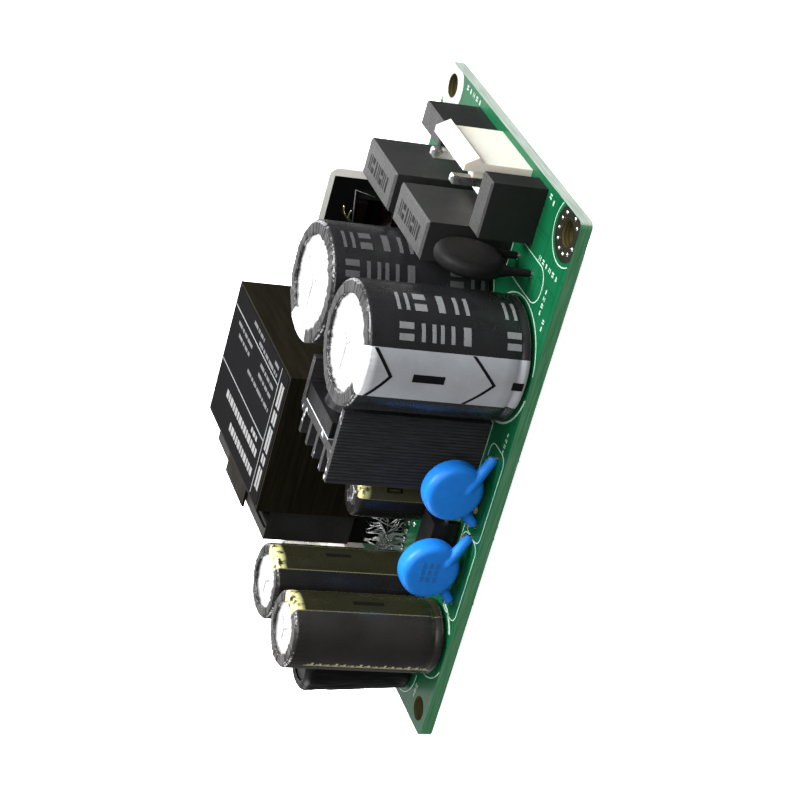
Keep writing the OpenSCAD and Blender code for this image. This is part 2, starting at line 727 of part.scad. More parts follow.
module x_capacitor_leads() {
    color(tin) leads(xcap_spots, socket_depth);
}

// Discs with a rounded rim, standing on edge. The disc's axis is Z before it is turned.
module coated_disc(d, t, rim) {
    rotate_extrude() {
        translate([0, -t / 2]) square([d / 2 - rim, t]);
        translate([0, rim - t / 2]) square([d / 2, t - 2 * rim]);
        for (side = [-1, 1]) translate([d / 2 - rim, side * (t / 2 - rim)]) circle(rim, $fn = 48);
    }
}

module inrush_thermistor_disc() {
    color(mould_black) difference() {
        at(therm_x, therm_y, therm_z) rotate([0, 90, 0]) coated_disc(therm_d, therm_t, therm_rim);
        for (s = therm_spots) at(s[0], s[1]) cylinder(h = therm_top, d = s[2] + 2 * seat_gap);
    }
}

// Height at which the thermistor's leads end inside the disc.
therm_top = therm_z - sqrt(pow(therm_d / 2, 2) - pow(therm_pitch / 2, 2)) + 2 * socket_depth;

module inrush_thermistor_leads() {
    color(tin) leads(therm_spots, therm_top);
}

// Common-mode choke: an ivory frame round the front plate of a bobbin, which holds a closed
// ferrite core with two windings.
module window(l, h, side, bar) {
    difference() {
        square([l, h]);
        translate([side, bar]) square([l - 2 * side, h - 2 * bar]);
    }
}

module upright(x, y, z, depth) {
    at(x, y + depth, z) rotate([90, 0, 0]) linear_extrude(depth) children();
}

module choke_frame() {
    color(ivory) upright(choke_x, choke_rear, 0, choke_d) difference() {
        rounded(choke_l, choke_h, choke_round);
        translate([choke_side, choke_bar]) square([choke_l - 2 * choke_side, choke_h - 2 * choke_bar]);
    }
}

module choke_core() {
    half_l = (choke_core_l - core_split) / 2;
    color(ferrite) for (start = [0, half_l + core_split])
        upright(choke_core_x, choke_core_y, choke_core_z, choke_core_d) intersection() {
            window(choke_core_l, choke_core_h, choke_leg, choke_leg);
            translate([start, 0]) square([half_l, choke_core_h]);
        }
}

// A square tube round a level leg of the choke core, from one layer to the next.
module leg_tube(x, z, inner, outer, length) {
    at(x, choke_core_y, z) rotate([90, 0, 90]) linear_extrude(length) difference() {
        translate([-outer, -outer]) square([choke_core_d + 2 * outer, choke_leg + 2 * outer]);
        translate([-inner, -inner]) square([choke_core_d + 2 * inner, choke_leg + 2 * inner]);
    }
}

module choke_bobbin() {
    in_l = choke_l - 2 * (choke_side + seat_gap);
    in_h = choke_h - 2 * (choke_bar + seat_gap);
    flange = choke_wrap + 0.1;
    start = choke_mid_x - choke_wind_l / 2;
    foot_h = choke_core_z - core_gap;
    color(mould_black) difference() {
        union() {
            upright(choke_mid_x - in_l / 2, choke_plate_y, choke_bar + seat_gap, choke_plate_t)
                difference() {
                    square([in_l, in_h]);
                    translate([(in_l - choke_window_l) / 2, choke_window_z - choke_bar - seat_gap])
                        square([choke_window_l, choke_window_h]);
                }
            for (z = choke_leg_zs) {
                leg_tube(start - choke_bobbin_t, z, core_gap, core_gap + choke_bobbin_t,
                         choke_wind_l + 2 * choke_bobbin_t);
                for (x = [start - choke_bobbin_t, start + choke_wind_l])
                    leg_tube(x, z, core_gap, flange, choke_bobbin_t);
            }
            upright(start - choke_bobbin_t, choke_back - choke_bobbin_t - 0.05, choke_core_z - flange,
                    choke_bobbin_t) square([choke_wind_l + 2 * choke_bobbin_t,
                                            choke_core_h + 2 * flange]);
            for (x = [choke_foot_x, 2 * choke_mid_x - choke_foot_x - choke_foot_l]) {
                at(x, choke_back) cube([choke_foot_l, choke_rear - choke_back - seat_gap, foot_h]);
                at(x, choke_rear - 1, choke_bar + seat_gap)
                    cube([choke_foot_l, choke_plate_y - choke_rear + 1.2, foot_h - choke_bar - seat_gap]);
            }
        }
        sockets(choke_spots, 0);
    }
}

module choke_windings() {
    color(copper) for (z = choke_leg_zs)
        leg_tube(choke_mid_x - choke_wind_l / 2 + seat_gap, z, core_gap + choke_bobbin_t + seat_gap,
                 choke_wrap, choke_wind_l - 2 * seat_gap);
}

module choke_pins() {
    color(tin) leads(choke_spots, socket_depth);
}

// Bridge rectifier: a flat upright body with one corner cut off.
module bridge_rectifier_body() {
    notch = 2.5;
    color(mould_black) difference() {
        at(bridge_x, bridge_y, bridge_lift) rotate([90, 0, 90]) linear_extrude(bridge_t)
            polygon([[0, 0], [bridge_l, 0], [bridge_l, bridge_h], [notch, bridge_h],
                     [0, bridge_h - notch]]);
        sockets(bridge_spots, bridge_lift);
    }
}

module bridge_rectifier_leads() {
    color(tin) leads(bridge_spots, bridge_lift + socket_depth);
}

// Round capacitors: a can with a crimped groove, a rubber seal and a sleeve.
seal_z = 0.4;
can_foot = 0.2;
bead_w = 0.6;

// A quarter round from a wall at radius r to a top at height h.
function shoulder(r, h, round) = [
    for (a = [0 : 15 : 90]) [r - round + round * cos(a), h - round + round * sin(a)]];

// Outline of a can from its foot to its top, at radius r and height h.
function can_outline(r, h, round) = concat(
    [[r - can_foot, seal_z], [r, seal_z + can_foot], [r, bead_z - bead_w], [r - bead_d, bead_z],
     [r, bead_z + bead_w]],
    shoulder(r, h, round));

module can(x, y, d, h) {
    r = d / 2 - sleeve_t - seat_gap;
    top = h - sleeve_t - seat_gap;
    score_w = 0.35;
    score_d = 0.25;
    score_l = 0.62 * (r - sleeve_rim);
    color("silver") at(x, y) difference() {
        rotate_extrude() polygon(concat([[0, seal_z]], can_outline(r, top, can_round), [[0, top]]));
        translate([0, 0, seal_z - cut]) cylinder(h = seal_t + cut, r = r - bead_d - can_wall);
        for (turn = [0, 120, 240]) rotate([0, 0, turn]) translate([0, -score_w / 2, top - score_d])
            cube([score_l, score_w, cut]);
    }
}

module sleeve(x, y, d, h) {
    r = d / 2;
    inner = sleeve_t + seat_gap;
    color(sleeve_black) at(x, y) difference() {
        rotate_extrude() difference() {
            polygon(concat([[0, seal_z]], can_outline(r, h, can_round + inner), [[0, h]]));
            polygon(concat([[0, seal_z - cut], [r - sleeve_t - can_foot, seal_z - cut]],
                           can_outline(r - sleeve_t, h - sleeve_t, can_round + seat_gap),
                           [[0, h - sleeve_t]]));
        }
        translate([0, 0, h - inner - 0.1]) cylinder(h = cut, r = r - sleeve_rim - sleeve_t);
    }
}

module bulk_capacitor_1_can() {
    can(bulk_x, bulk_1_y, bulk_d, bulk_h);
}

module bulk_capacitor_1_sleeve() {
    sleeve(bulk_x, bulk_1_y, bulk_d, bulk_h);
}

module bulk_capacitor_2_can() {
    can(bulk_x, bulk_2_y, bulk_d, bulk_h);
}

module bulk_capacitor_2_sleeve() {
    sleeve(bulk_x, bulk_2_y, bulk_d, bulk_h);
}

module bias_capacitor_can() {
    can(bias_x, bias_y, bias_d, bias_h);
}

module bias_capacitor_sleeve() {
    sleeve(bias_x, bias_y, bias_d, bias_h);
}

module output_capacitor_1_can() {
    can(out_x, out_1_y, out_d, out_h);
}

module output_capacitor_1_sleeve() {
    sleeve(out_x, out_1_y, out_d, out_h);
}

module output_capacitor_2_can() {
    can(out_x - out_shift, out_2_y, out_d, out_h);
}

module output_capacitor_2_sleeve() {
    sleeve(out_x - out_shift, out_2_y, out_d, out_h);
}

module seal(x, y, d, spots) {
    r = d / 2 - sleeve_t - 2 * seat_gap - bead_d - can_wall;
    difference() {
        at(x, y) cylinder(h = seal_z + seal_t, r = r);
        for (s = spots) at(s[0], s[1], -cut)
            cylinder(h = seal_z + seal_t + 2 * cut, d = s[2] + 2 * seat_gap);
    }
}

module capacitor_seals() {
    color(mould_black) {
        seal(bulk_x, bulk_1_y, bulk_d, bulk_1_spots);
        seal(bulk_x, bulk_2_y, bulk_d, bulk_2_spots);
        seal(bias_x, bias_y, bias_d, bias_spots);
        seal(out_x, out_1_y, out_d, out_1_spots);
        seal(out_x - out_shift, out_2_y, out_d, out_2_spots);
    }
}

module capacitor_leads() {
    color(tin) leads(can_spots, seal_z + seal_t);
}

// Heat sink: a plate between two grooved flanges, with the transistor on its inlet side and
// fins on its output side. The rear flange ends at the plate.
groove_n = floor(sink_l / groove_pitch);
rear_groove_n = floor((sink_plate_x + sink_plate_t) / groove_pitch);

// The grooved outer face of a flange, from the inlet side to its other end.
function grooves(n) = [
    for (i = [0 : n - 1]) for (p = [[0, 0], [groove_pitch / 2, groove_d]]) [i * groove_pitch + p[0], p[1]]];

module sink_section() {
    back = sink_plate_x + sink_plate_t;
    front = grooves(groove_n);
    last = len(front) - 1;
    polygon(concat(
        grooves(rear_groove_n), [[back, 0]],
        [for (i = [0 : fins - 1]) let (y = fin_first + i * fin_step)
            for (p = [[back, -1], [sink_l, -1], [sink_l, 1], [back, 1]]) [p[0], y + p[1] * fin_t / 2]],
        [[back, sink_w - sink_flange_t], [sink_l, sink_w - sink_flange_t], [sink_l, sink_w]],
        [for (i = [last : -1 : 0]) [front[i][0], sink_w - front[i][1]]],
        [[0, sink_w - sink_flange_t], [sink_plate_x, sink_w - sink_flange_t],
         [sink_plate_x, sink_flange_t], [0, sink_flange_t]]));
    for (y = [sink_pin_in, sink_w - sink_pin_in])
        translate([sink_plate_x + sink_boss_r, y]) circle(sink_boss_r);
}

module heat_sink() {
    color(mould_black) difference() {
        at(sink_x, sink_y) linear_extrude(sink_h) sink_section();
        for (s = sink_pin_spots) at(s[0], s[1], -cut)
            cylinder(h = sink_pin_h + cut, d = s[2] + 2 * seat_gap);
        at(sink_face_x - cut, tran_y, screw_z) rotate([0, 90, 0])
            cylinder(h = sink_plate_t + cut, d = screw_d + 2 * seat_gap);
    }
}

module heat_sink_pins() {
    color(tin) leads(sink_pin_spots, sink_pin_h);
}

// Transistor: a moulded body with a thinner tab, flat against the pad.
module transistor_body() {
    color(mould_black) difference() {
        at(tran_back_x, tran_y + tran_w / 2, tran_z) rotate([90, 0, 0]) linear_extrude(tran_w)
            polygon([[0, 0], [-tran_t + 0.3, 0], [-tran_t, 0.5], [-tran_t, tran_h - tran_tab_h - 1],
                     [-tran_tab_t, tran_h - tran_tab_h], [-tran_tab_t, tran_h], [0, tran_h]]);
        sockets(tran_spots, tran_z);
        at(tran_back_x - tran_t - cut, tran_y, screw_z) rotate([0, 90, 0])
            cylinder(h = tran_t + 2 * cut, d = screw_d + 0.3);
    }
}

module transistor_leads() {
    color(tin) leads(tran_spots, tran_z + socket_depth);
}

module transistor_pad() {
    color([0.55, 0.6, 0.62]) difference() {
        at(sink_face_x - pad_t, tran_y - tran_w / 2, tran_z) cube([pad_t, tran_w, tran_h]);
        at(sink_face_x - pad_t - cut, tran_y, screw_z) rotate([0, 90, 0])
            cylinder(h = pad_t + 2 * cut, d = screw_d + 0.3);
    }
}

module transistor_screw() {
    slot = 0.7;
    color(tin) difference() {
        union() {
            at(tran_back_x - tran_tab_t, tran_y, screw_z) rotate([0, 90, 0])
                cylinder(h = tran_tab_t + pad_t + sink_plate_t, d = screw_d);
            at(tran_back_x - tran_tab_t, tran_y, screw_z) rotate([0, -90, 0])
                cylinder(h = screw_head_h, d1 = screw_head_d, d2 = screw_head_d - 0.8);
        }
        for (turn = [0, 90]) at(tran_back_x - tran_tab_t - screw_head_h, tran_y, screw_z)
            rotate([turn, 0, 0]) cube([1.6, screw_head_d / 2, slot], center = true);
    }
}

// Transformer: two E-shaped halves in a bobbin with a horizontal winding.
module core_half_outline() {
    half = (core_l - core_split) / 2;
    square([core_yoke, core_w]);
    for (y = [0, core_w - core_leg]) translate([0, y]) square([half, core_leg]);
    translate([0, (core_w - core_mid) / 2]) square([half, core_mid]);
}

module transformer_core_inlet_half() {
    color(ferrite) at(core_x, core_y, core_z) linear_extrude(core_d) core_half_outline();
}

module transformer_core_output_half() {
    color(ferrite) at(core_x + core_l, core_y, core_z) mirror([1, 0, 0]) linear_extrude(core_d)
        core_half_outline();
}

// A square tube round the core's middle leg, from one layer to the next, along X.
module mid_tube(x, length, inner, outer_y, outer_z) {
    hole_w = core_mid + 2 * inner;
    hole_h = core_d + 2 * inner;
    at(x, core_mid_y, core_z + core_d / 2) rotate([90, 0, 90]) linear_extrude(length) difference() {
        square([core_mid + 2 * outer_y, core_d + 2 * outer_z], center = true);
        square([hole_w, hole_h], center = true);
    }
}

window_x = core_x + core_yoke + core_gap;
window_l = core_l - 2 * (core_yoke + core_gap);
window_y = (core_w - core_mid) / 2 - core_leg - core_gap;
winding_z = flange_rise - 0.2;
winding_y = window_y - 0.3;
rail_head = core_yoke + core_gap + bobbin_t;

module transformer_bobbin() {
    foot = 2;
    color(mould_black) difference() {
        union() {
            mid_tube(window_x, window_l, core_gap, core_gap + bobbin_t, core_gap + bobbin_t);
            for (x = [window_x, window_x + window_l - bobbin_t])
                mid_tube(x, bobbin_t, core_gap, window_y, flange_rise);
            at(core_x + core_l / 2, core_mid_y) for (side = [0, 1]) mirror([side, 0, 0]) {
                translate([core_l / 2 - rail_head, -rail_w / 2, rail_z]) cube([rail_head, rail_w, rail_h]);
                translate([core_l / 2 - rail_l, -rail_w / 2, rail_z])
                    cube([rail_l, rail_w, core_z - winding_z - 0.25 - rail_z]);
                for (y = [-rail_w / 2, rail_w / 2 - foot])
                    translate([core_l / 2 - rail_l + 2, y, 0]) cube([rail_l - 4, foot, rail_z + cut]);
            }
        }
        sockets(trafo_spots, rail_z);
        for (s = wire_spots) at(s[0], core_mid_y + rail_w / 2 + cut, wire_z) rotate([90, 0, 0])
            cylinder(h = socket_depth + cut, d = wire_d + 2 * seat_gap);
    }
}

module transformer_winding() {
    tube = core_gap + bobbin_t;
    color([0.35, 0.22, 0.1])
        mid_tube(window_x + bobbin_t + seat_gap, window_l - 2 * (bobbin_t + seat_gap),
                 tube + seat_gap, winding_y, winding_z);
}

// The wrap covers the top, both long sides and the inlet end, and slopes down to the far bar.
module transformer_wrap() {
    slope_end = core_x + core_l - 2.1 - trafo_x;
    tab_end = core_x + core_l + 0.8 - trafo_x;
    tab_w = 9.6;
    seat = core_top + core_gap - core_z;
    top = trafo_h - core_z;
    color(tape_brown) {
        at(trafo_x, trafo_y, core_z) {
            difference() {
                cube([wrap_l, wrap_w, top]);
                translate([wrap_t, wrap_t, -cut])
                    cube([wrap_l, wrap_w - 2 * wrap_t, top - wrap_t + cut]);
            }
            translate([0, wrap_w, 0]) rotate([90, 0, 0]) linear_extrude(wrap_w)
                polygon([[wrap_l - 0.3, top], [wrap_l, top], [slope_end, seat + wrap_t],
                         [slope_end, seat], [wrap_l, top - wrap_t], [wrap_l - 0.3, top - wrap_t]]);
            translate([0, 8 + tab_w, 0]) rotate([90, 0, 0]) linear_extrude(tab_w)
                polygon([[slope_end - 0.3, seat + wrap_t], [tab_end, seat + wrap_t], [tab_end, seat],
                         [slope_end - 0.3, seat + 0.1]]);
        }
    }
}

module transformer_label() {
    color([0.2, 0.2, 0.2]) at(trafo_x + label_margin, trafo_y + label_margin, trafo_h)
        cube([wrap_l - 2 * label_margin, wrap_w - 2 * label_margin, label_t]);
}

module transformer_pins() {
    color(tin) leads(trafo_spots, rail_z + socket_depth);
}

module transformer_lead_wires() {
    color(tin) for (s = wire_spots) {
        leads([s], wire_z);
        at(s[0], s[1], wire_z) {
            sphere(d = wire_d);
            rotate([90, 0, 0]) cylinder(h = wire_reach + socket_depth, d = wire_d);
        }
    }
}

// Y capacitors: upright discs whose coating runs down both leads.
module rod_between(a, b, d) {
    v = b - a;
    translate(a) rotate([0, acos(v[2] / norm(v)), atan2(v[1], v[0])]) cylinder(h = norm(v), d = d);
}

module y_capacitor(x, spots) {
    color(blue) difference() {
        at(x, ycap_y) {
            translate([0, 0, ycap_z]) rotate([90, 0, 0]) coated_disc(ycap_d, ycap_t, ycap_rim);
            for (side = [-1, 1]) {
                foot = [side * ycap_pitch / 2, 0, 1.2];
                rod_between([side * ycap_d * 0.3, 0, ycap_z - ycap_d * 0.2], foot, ycap_coat_d);
                translate(foot) sphere(d = ycap_coat_d);
                translate([foot[0], 0, 0.2]) cylinder(h = 1, d = ycap_coat_d);
            }
        }
        sockets(spots, 0.2);
    }
}

module y_capacitor_1_disc() {
    y_capacitor(ycap_x, ycap_spots);
}

module y_capacitor_2_disc() {
    y_capacitor(ycap_x + ycap_spread, ycap_spots);
}

module y_capacitor_leads() {
    color(tin) leads(ycap_spots, 0.2 + socket_depth);
}

// Optocoupler with two leads on each side.
module optocoupler_body() {
    side = opto_w / 2;
    mid = opto_h / 2;
    draft = 0.25;
    color(mould_black) at(opto_x, opto_y, opto_lift) rotate([90, 0, 90])
        linear_extrude(opto_l, center = true)
            polygon([[-side + draft, 0], [side - draft, 0], [side, mid], [side - draft, opto_h],
                     [-side + draft, opto_h], [-side, mid]]);
}

module optocoupler_leads() {
    t = opto_lead_w;
    z = opto_lift + opto_h / 2;
    reach = (opto_rows - opto_l) / 2 + t / 2;
    color(tin) for (side = [-1, 1]) for (y = [-1, 1])
        at(opto_x + side * opto_rows / 2, opto_y + y * opto_pitch / 2, 0) {
            translate([-t / 2, -t / 2, -board_t - lead_tail]) cube([t, t, z + board_t + lead_tail]);
            translate([side > 0 ? t / 2 - reach : -t / 2, -t, z - t / 2]) cube([reach, 2 * t, t / 2]);
        }
}

// Output choke: a ferrite rod in a round winding, held in a shrunk sleeve. It leans outwards.
rod_foot = 0.6;

module leaning() {
    at(rod_x, rod_y, rod_foot) rotate([0, rod_lean, 0]) children();
}

module output_choke_core() {
    color(ferrite) leaning() cylinder(h = rod_h - rod_foot - 0.5, d = rod_core_d);
}

module output_choke_winding() {
    wound_h = rod_h - rod_foot - sleeve_t - can_round;
    color(copper) {
        leaning() difference() {
            cylinder(h = wound_h, d = rod_d - 2 * (sleeve_t + seat_gap));
            translate([0, 0, -cut]) cylinder(h = rod_h, d = rod_core_d + 2 * seat_gap);
        }
        leads(rod_spots, rod_foot + 0.3);
    }
}

module output_choke_sleeve() {
    r = rod_d / 2;
    top = rod_h - rod_foot;
    color(sleeve_black) leaning() difference() {
        rotate_extrude() difference() {
            polygon(concat([[0, 0], [r, 0]], shoulder(r, top, can_round), [[0, top]]));
            polygon(concat([[0, -cut], [r - sleeve_t, -cut]],
                           shoulder(r - sleeve_t, top - sleeve_t, can_round - sleeve_t),
                           [[0, top - sleeve_t]]));
        }
        translate([0, 0, top - 1]) cylinder(h = 2, r = rod_core_d / 2 + seat_gap);
    }
}

// Parts soldered to the underside. z is counted down from the board's underside.
module under(x, y, turn = 0) {
    at(x, y, -board_t) rotate([0, 180, turn]) children();
}

ic_x = 44.5;
ic_y = 24.0;
rect_x = 66.5;
rect_y = 27.5;
resistor_spots = [[42.5, 12], [42.5, 15], [44.5, 31], [48.5, 31], [27, 22], [30, 22]];
chip_capacitor_spots = [[44.5, 16.5], [48.5, 16.5], [52.5, 16.5], [66.5, 16], [66.5, 20]];

module controller_body() {
    color(mould_black) under(ic_x, ic_y) translate([0, 0, ic_h / 2 + 0.1])
        cube([ic_l, ic_w, ic_h], center = true);
}

module controller_leads() {
    color(tin) under(ic_x, ic_y) for (side = [0, 180]) rotate([0, 0, side])
        for (i = [-1.5 : 1 : 1.5]) translate([i * ic_pitch - ic_lead_w / 2, ic_w / 2, 0]) {
            translate([0, ic_lead_l / 2, 0]) cube([ic_lead_w, ic_lead_l / 2, ic_lead_t]);
            translate([0, ic_lead_l / 2, 0]) cube([ic_lead_w, ic_lead_t, ic_h / 2 + ic_lead_t]);
            translate([0, 0, ic_h / 2]) cube([ic_lead_w, ic_lead_l / 2 + ic_lead_t, ic_lead_t]);
        }
}

module output_rectifier() {
    color(mould_black) under(rect_x, rect_y) translate([0, 0, rect_h / 2])
        cube([rect_l, rect_w, rect_h], center = true);
}

module chips(spots, h) {
    for (p = spots) under(p[0], p[1]) translate([0, 0, h / 2]) cube([chip_l, chip_w, h], center = true);
}

module chip_resistors() {
    color(mould_black) chips(resistor_spots, chip_resistor_h);
}

module chip_capacitors() {
    color([0.6, 0.5, 0.38]) chips(chip_capacitor_spots, chip_capacitor_h);
}

circuit_board();
solder_joints();
inlet_header_housing();
inlet_header_posts();
line_fuse_body();
neutral_fuse_body();
fuse_leads();
x_capacitor_1_case();
x_capacitor_2_case();
x_capacitor_leads();
inrush_thermistor_disc();
inrush_thermistor_leads();
choke_frame();
choke_core();
choke_bobbin();
choke_windings();
choke_pins();
bridge_rectifier_body();
bridge_rectifier_leads();
bulk_capacitor_1_can();
bulk_capacitor_1_sleeve();
bulk_capacitor_2_can();
bulk_capacitor_2_sleeve();
bias_capacitor_can();
bias_capacitor_sleeve();
output_capacitor_1_can();
output_capacitor_1_sleeve();
output_capacitor_2_can();
output_capacitor_2_sleeve();
capacitor_seals();
capacitor_leads();
heat_sink();
heat_sink_pins();
transistor_body();
transistor_leads();
transistor_pad();
transistor_screw();
transformer_core_inlet_half();
transformer_core_output_half();
transformer_bobbin();
transformer_winding();
transformer_wrap();
transformer_label();
transformer_pins();
transformer_lead_wires();
y_capacitor_1_disc();
y_capacitor_2_disc();
y_capacitor_leads();
optocoupler_body();
optocoupler_leads();
output_choke_core();
output_choke_winding();
output_choke_sleeve();
output_connector_housing();
output_connector_posts();
controller_body();
controller_leads();
output_rectifier();
chip_resistors();
chip_capacitors();
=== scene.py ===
# Looks of the open frame power supply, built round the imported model.
# Tables are in millimetres and degrees, in the part's own frame: X runs along the board from the
# mains inlet to the output, +Z is up, and the origin is the middle of the board's underside.
from math import ceil, cos, hypot, pi, radians, sin

import bmesh
import bpy
from mathutils import Matrix, Vector, noise


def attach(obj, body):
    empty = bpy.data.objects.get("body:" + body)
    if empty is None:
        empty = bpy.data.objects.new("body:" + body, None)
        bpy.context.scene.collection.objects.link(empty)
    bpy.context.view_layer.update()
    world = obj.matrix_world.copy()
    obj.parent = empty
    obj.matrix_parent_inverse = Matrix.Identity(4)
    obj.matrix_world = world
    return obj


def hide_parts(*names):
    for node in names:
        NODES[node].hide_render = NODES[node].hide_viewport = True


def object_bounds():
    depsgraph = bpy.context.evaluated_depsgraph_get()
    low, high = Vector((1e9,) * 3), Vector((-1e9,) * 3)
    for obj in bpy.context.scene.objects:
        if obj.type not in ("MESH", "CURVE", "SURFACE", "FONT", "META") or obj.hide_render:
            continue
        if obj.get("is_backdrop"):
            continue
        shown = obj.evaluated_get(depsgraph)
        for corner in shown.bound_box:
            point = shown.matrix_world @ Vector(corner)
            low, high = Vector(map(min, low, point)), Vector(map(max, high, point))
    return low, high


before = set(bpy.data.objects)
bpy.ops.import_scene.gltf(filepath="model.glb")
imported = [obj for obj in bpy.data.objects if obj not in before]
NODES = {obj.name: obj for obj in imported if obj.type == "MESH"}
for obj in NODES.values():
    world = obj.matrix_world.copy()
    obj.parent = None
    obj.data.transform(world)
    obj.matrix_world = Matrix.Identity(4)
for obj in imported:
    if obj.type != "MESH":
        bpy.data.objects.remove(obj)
cad_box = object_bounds()
MM = 0.001
scene = bpy.context.scene

# Camera, recovered from the photograph. It lies about a quarter turn on its side.
CAMERA_PLACE = (-142.526, 269.039, 129.067)
CAMERA_TURN = (12.0819, 67.5850, 131.1794)
CAMERA_LENS = 110.58
CAMERA_SENSOR = 36.0
# Nearest and farthest distance that it sees, in metres
CAMERA_REACH = (0.01, 20.0)

# The board, and the floor just under the lead tails
HALF_L = 38.1
HALF_W = 25.4
HOLE_X = 35.35
HOLE_Y = 22.65
BOARD_TOP = 1.6
BOARD_CORNER = 1.0
FLOOR_Z = -1.52


def add_object(name, data):
    obj = bpy.data.objects.new(name, data)
    scene.collection.objects.link(obj)
    return obj


def make_camera():
    data = bpy.data.cameras.new("camera")
    data.lens = CAMERA_LENS
    data.sensor_width = CAMERA_SENSOR
    data.clip_start, data.clip_end = CAMERA_REACH
    obj = add_object("camera", data)
    obj.location = Vector(CAMERA_PLACE) * MM
    obj.rotation_euler = [radians(a) for a in CAMERA_TURN]
    scene.camera = obj


make_camera()


# Materials

# Nearly all of a noise texture's values lie in the first range. The others give more contrast.
NOISE_RANGE = (0.3, 0.7)
CRISP_RANGE = (0.35, 0.65)
WEAR_RANGE = (0.3, 0.6)
# Every finished material, by name
FINISHES = {}
# Places of the colour sockets on a Mix node
MIX_FIRST, MIX_SECOND, MIX_RESULT = 6, 7, 2


def grey(level):
    return level, level, level


class Shader:
    """A node material. Places come from the object's own coordinates, in metres."""

    def __init__(self, name, color=grey(0.5), rough=0.5, metal=0.0, shine=0.5, **sockets):
        mat = FINISHES[name] = bpy.data.materials.new(name)
        mat.use_nodes = True
        self.nodes = mat.node_tree.nodes
        self.links = mat.node_tree.links
        self.bsdf = self.nodes["Principled BSDF"]
        self.set(Base_Color=(*color, 1.0), Roughness=rough, Metallic=metal,
                 Specular_IOR_Level=shine, **sockets)
        self.place = self.node("ShaderNodeTexCoord").outputs["Object"]

    def feed(self, node, values):
        """Links values to the node's inputs, or sets them there. Keys are names or places."""
        for key, value in values.items():
            if isinstance(value, bpy.types.NodeSocket):
                self.links.new(value, node.inputs[key])
            else:
                node.inputs[key].default_value = value

    def set(self, **sockets):
        self.feed(self.bsdf, {key.replace("_", " "): value for key, value in sockets.items()})

    def node(self, kind, values=None, **props):
        made = self.nodes.new(kind)
        for key, value in props.items():
            setattr(made, key, value)
        self.feed(made, values or {})
        return made

    def calc(self, operation, *values):
        made = self.node("ShaderNodeMath", dict(enumerate(values)), operation=operation)
        return made.outputs[0]

    def xyz(self, vector=None):
        return tuple(self.node("ShaderNodeSeparateXYZ", {0: vector or self.place}).outputs)

    def stretch(self, scale):
        """The place with each axis scaled, for streaks and layers."""
        return self.node("ShaderNodeMapping", {"Vector": self.place, "Scale": scale}).outputs[0]

    def noise(self, per_mm, detail=3.0, rough=0.5, at=None, twist=0.0):
        values = {"Vector": at or self.place, "Scale": per_mm / MM, "Detail": detail,
                  "Roughness": rough, "Distortion": twist}
        return self.node("ShaderNodeTexNoise", values).outputs["Fac"]

    def bricks(self, length, height, gap, offset):
        """Gaps between rows of rectangles in plan, all in millimetres."""
        values = {"Vector": self.place, "Scale": 1 / MM, "Brick Width": length,
                  "Row Height": height, "Mortar Size": gap / 2, "Mortar Smooth": 0.2}
        return self.node("ShaderNodeTexBrick", values, offset=offset).outputs["Fac"]

    def ramp(self, value, low, high, start=0.0, end=1.0):
        values = dict(enumerate((value, low, high, start, end)))
        return self.node("ShaderNodeMapRange", values, clamp=True).outputs[0]

    def swing(self, value, start=0.0, end=1.0):
        """Spreads the usual range of a noise value from start to end."""
        return self.ramp(value, *NOISE_RANGE, start, end)

    def mix(self, share, first, second):
        first, second = ((*c, 1.0) if isinstance(c, tuple) else c for c in (first, second))
        values = {0: share, MIX_FIRST: first, MIX_SECOND: second}
        return self.node("ShaderNodeMix", values, data_type="RGBA").outputs[MIX_RESULT]

    def tones(self, value, color, low, high):
        """A colour that follows a noise value between two strengths of itself."""
        return self.mix(self.swing(value), shade(color, low), shade(color, high))

    def normal(self):
        return self.xyz(self.node("ShaderNodeNewGeometry").outputs["Normal"])

    def bump(self, height, depth_mm, strength=1.0):
        values = {"Strength": strength, "Distance": depth_mm * MM, "Height": height}
        self.set(Normal=self.node("ShaderNodeBump", values).outputs[0])


def shade(color, factor):
    return tuple(c * factor for c in color)


# How much broader the broad mottle is than the fine one, and the fine one's share
BROAD_RATIO = 14
FINE_SHARE = 0.6


def moulded(name, color, spread=0.25, rough=(0.4, 0.6), per_mm=6.0, depth_mm=0.012, **sockets):
    """Mottled colour, roughness and fine bump, for moulded, dipped and printed surfaces."""
    s = Shader(name, color=color, **sockets)
    fine = s.noise(per_mm, detail=4.0, rough=0.6)
    broad = s.noise(per_mm / BROAD_RATIO, detail=2.0)
    both = s.calc("ADD", s.calc("MULTIPLY", fine, FINE_SHARE),
                  s.calc("MULTIPLY", broad, 1 - FINE_SHARE))
    s.set(Base_Color=s.tones(both, color, 1 - spread, 1 + spread))
    s.set(Roughness=s.swing(broad, *rough))
    s.bump(fine, depth_mm)


# Painted light: a cast case's walls get lighter between these heights; a cloudy noise shifts them.
CASE_LIT_HEIGHTS = (5.0, 16.0)
CASE_SHIFT = 3.0


def cast_case(name, side, top):
    """A moulded case, rougher on its upper end, which is painted lighter as light from above."""
    s = Shader(name, shine=0.4)
    fine = s.noise(4.5, detail=5.0, rough=0.65)
    cloud = s.noise(0.3, detail=2.0)
    up = s.ramp(s.normal()[2], 0.5, 0.8)
    height = s.calc("ADD", s.xyz()[2], s.calc("MULTIPLY", cloud, CASE_SHIFT * MM))
    # The walls are painted lighter towards the top: painted light from above.
    lighter = s.ramp(height, *(z * MM for z in CASE_LIT_HEIGHTS))
    walls = s.mix(lighter, shade(side, 0.6), shade(side, 2.0))
    # Upper end's colour: the grain is the case's own, the lightness is painted light from above.
    grainy_lit_top = s.mix(s.ramp(fine, *CRISP_RANGE), shade(top, 0.55), shade(top, 1.5))
    s.set(Base_Color=s.mix(up, walls, grainy_lit_top))
    s.set(Roughness=s.swing(cloud, 0.5, 0.62))
    s.bump(s.calc("MULTIPLY", fine, s.ramp(up, 0.0, 1.0, 0.3, 1.0)), 0.07)


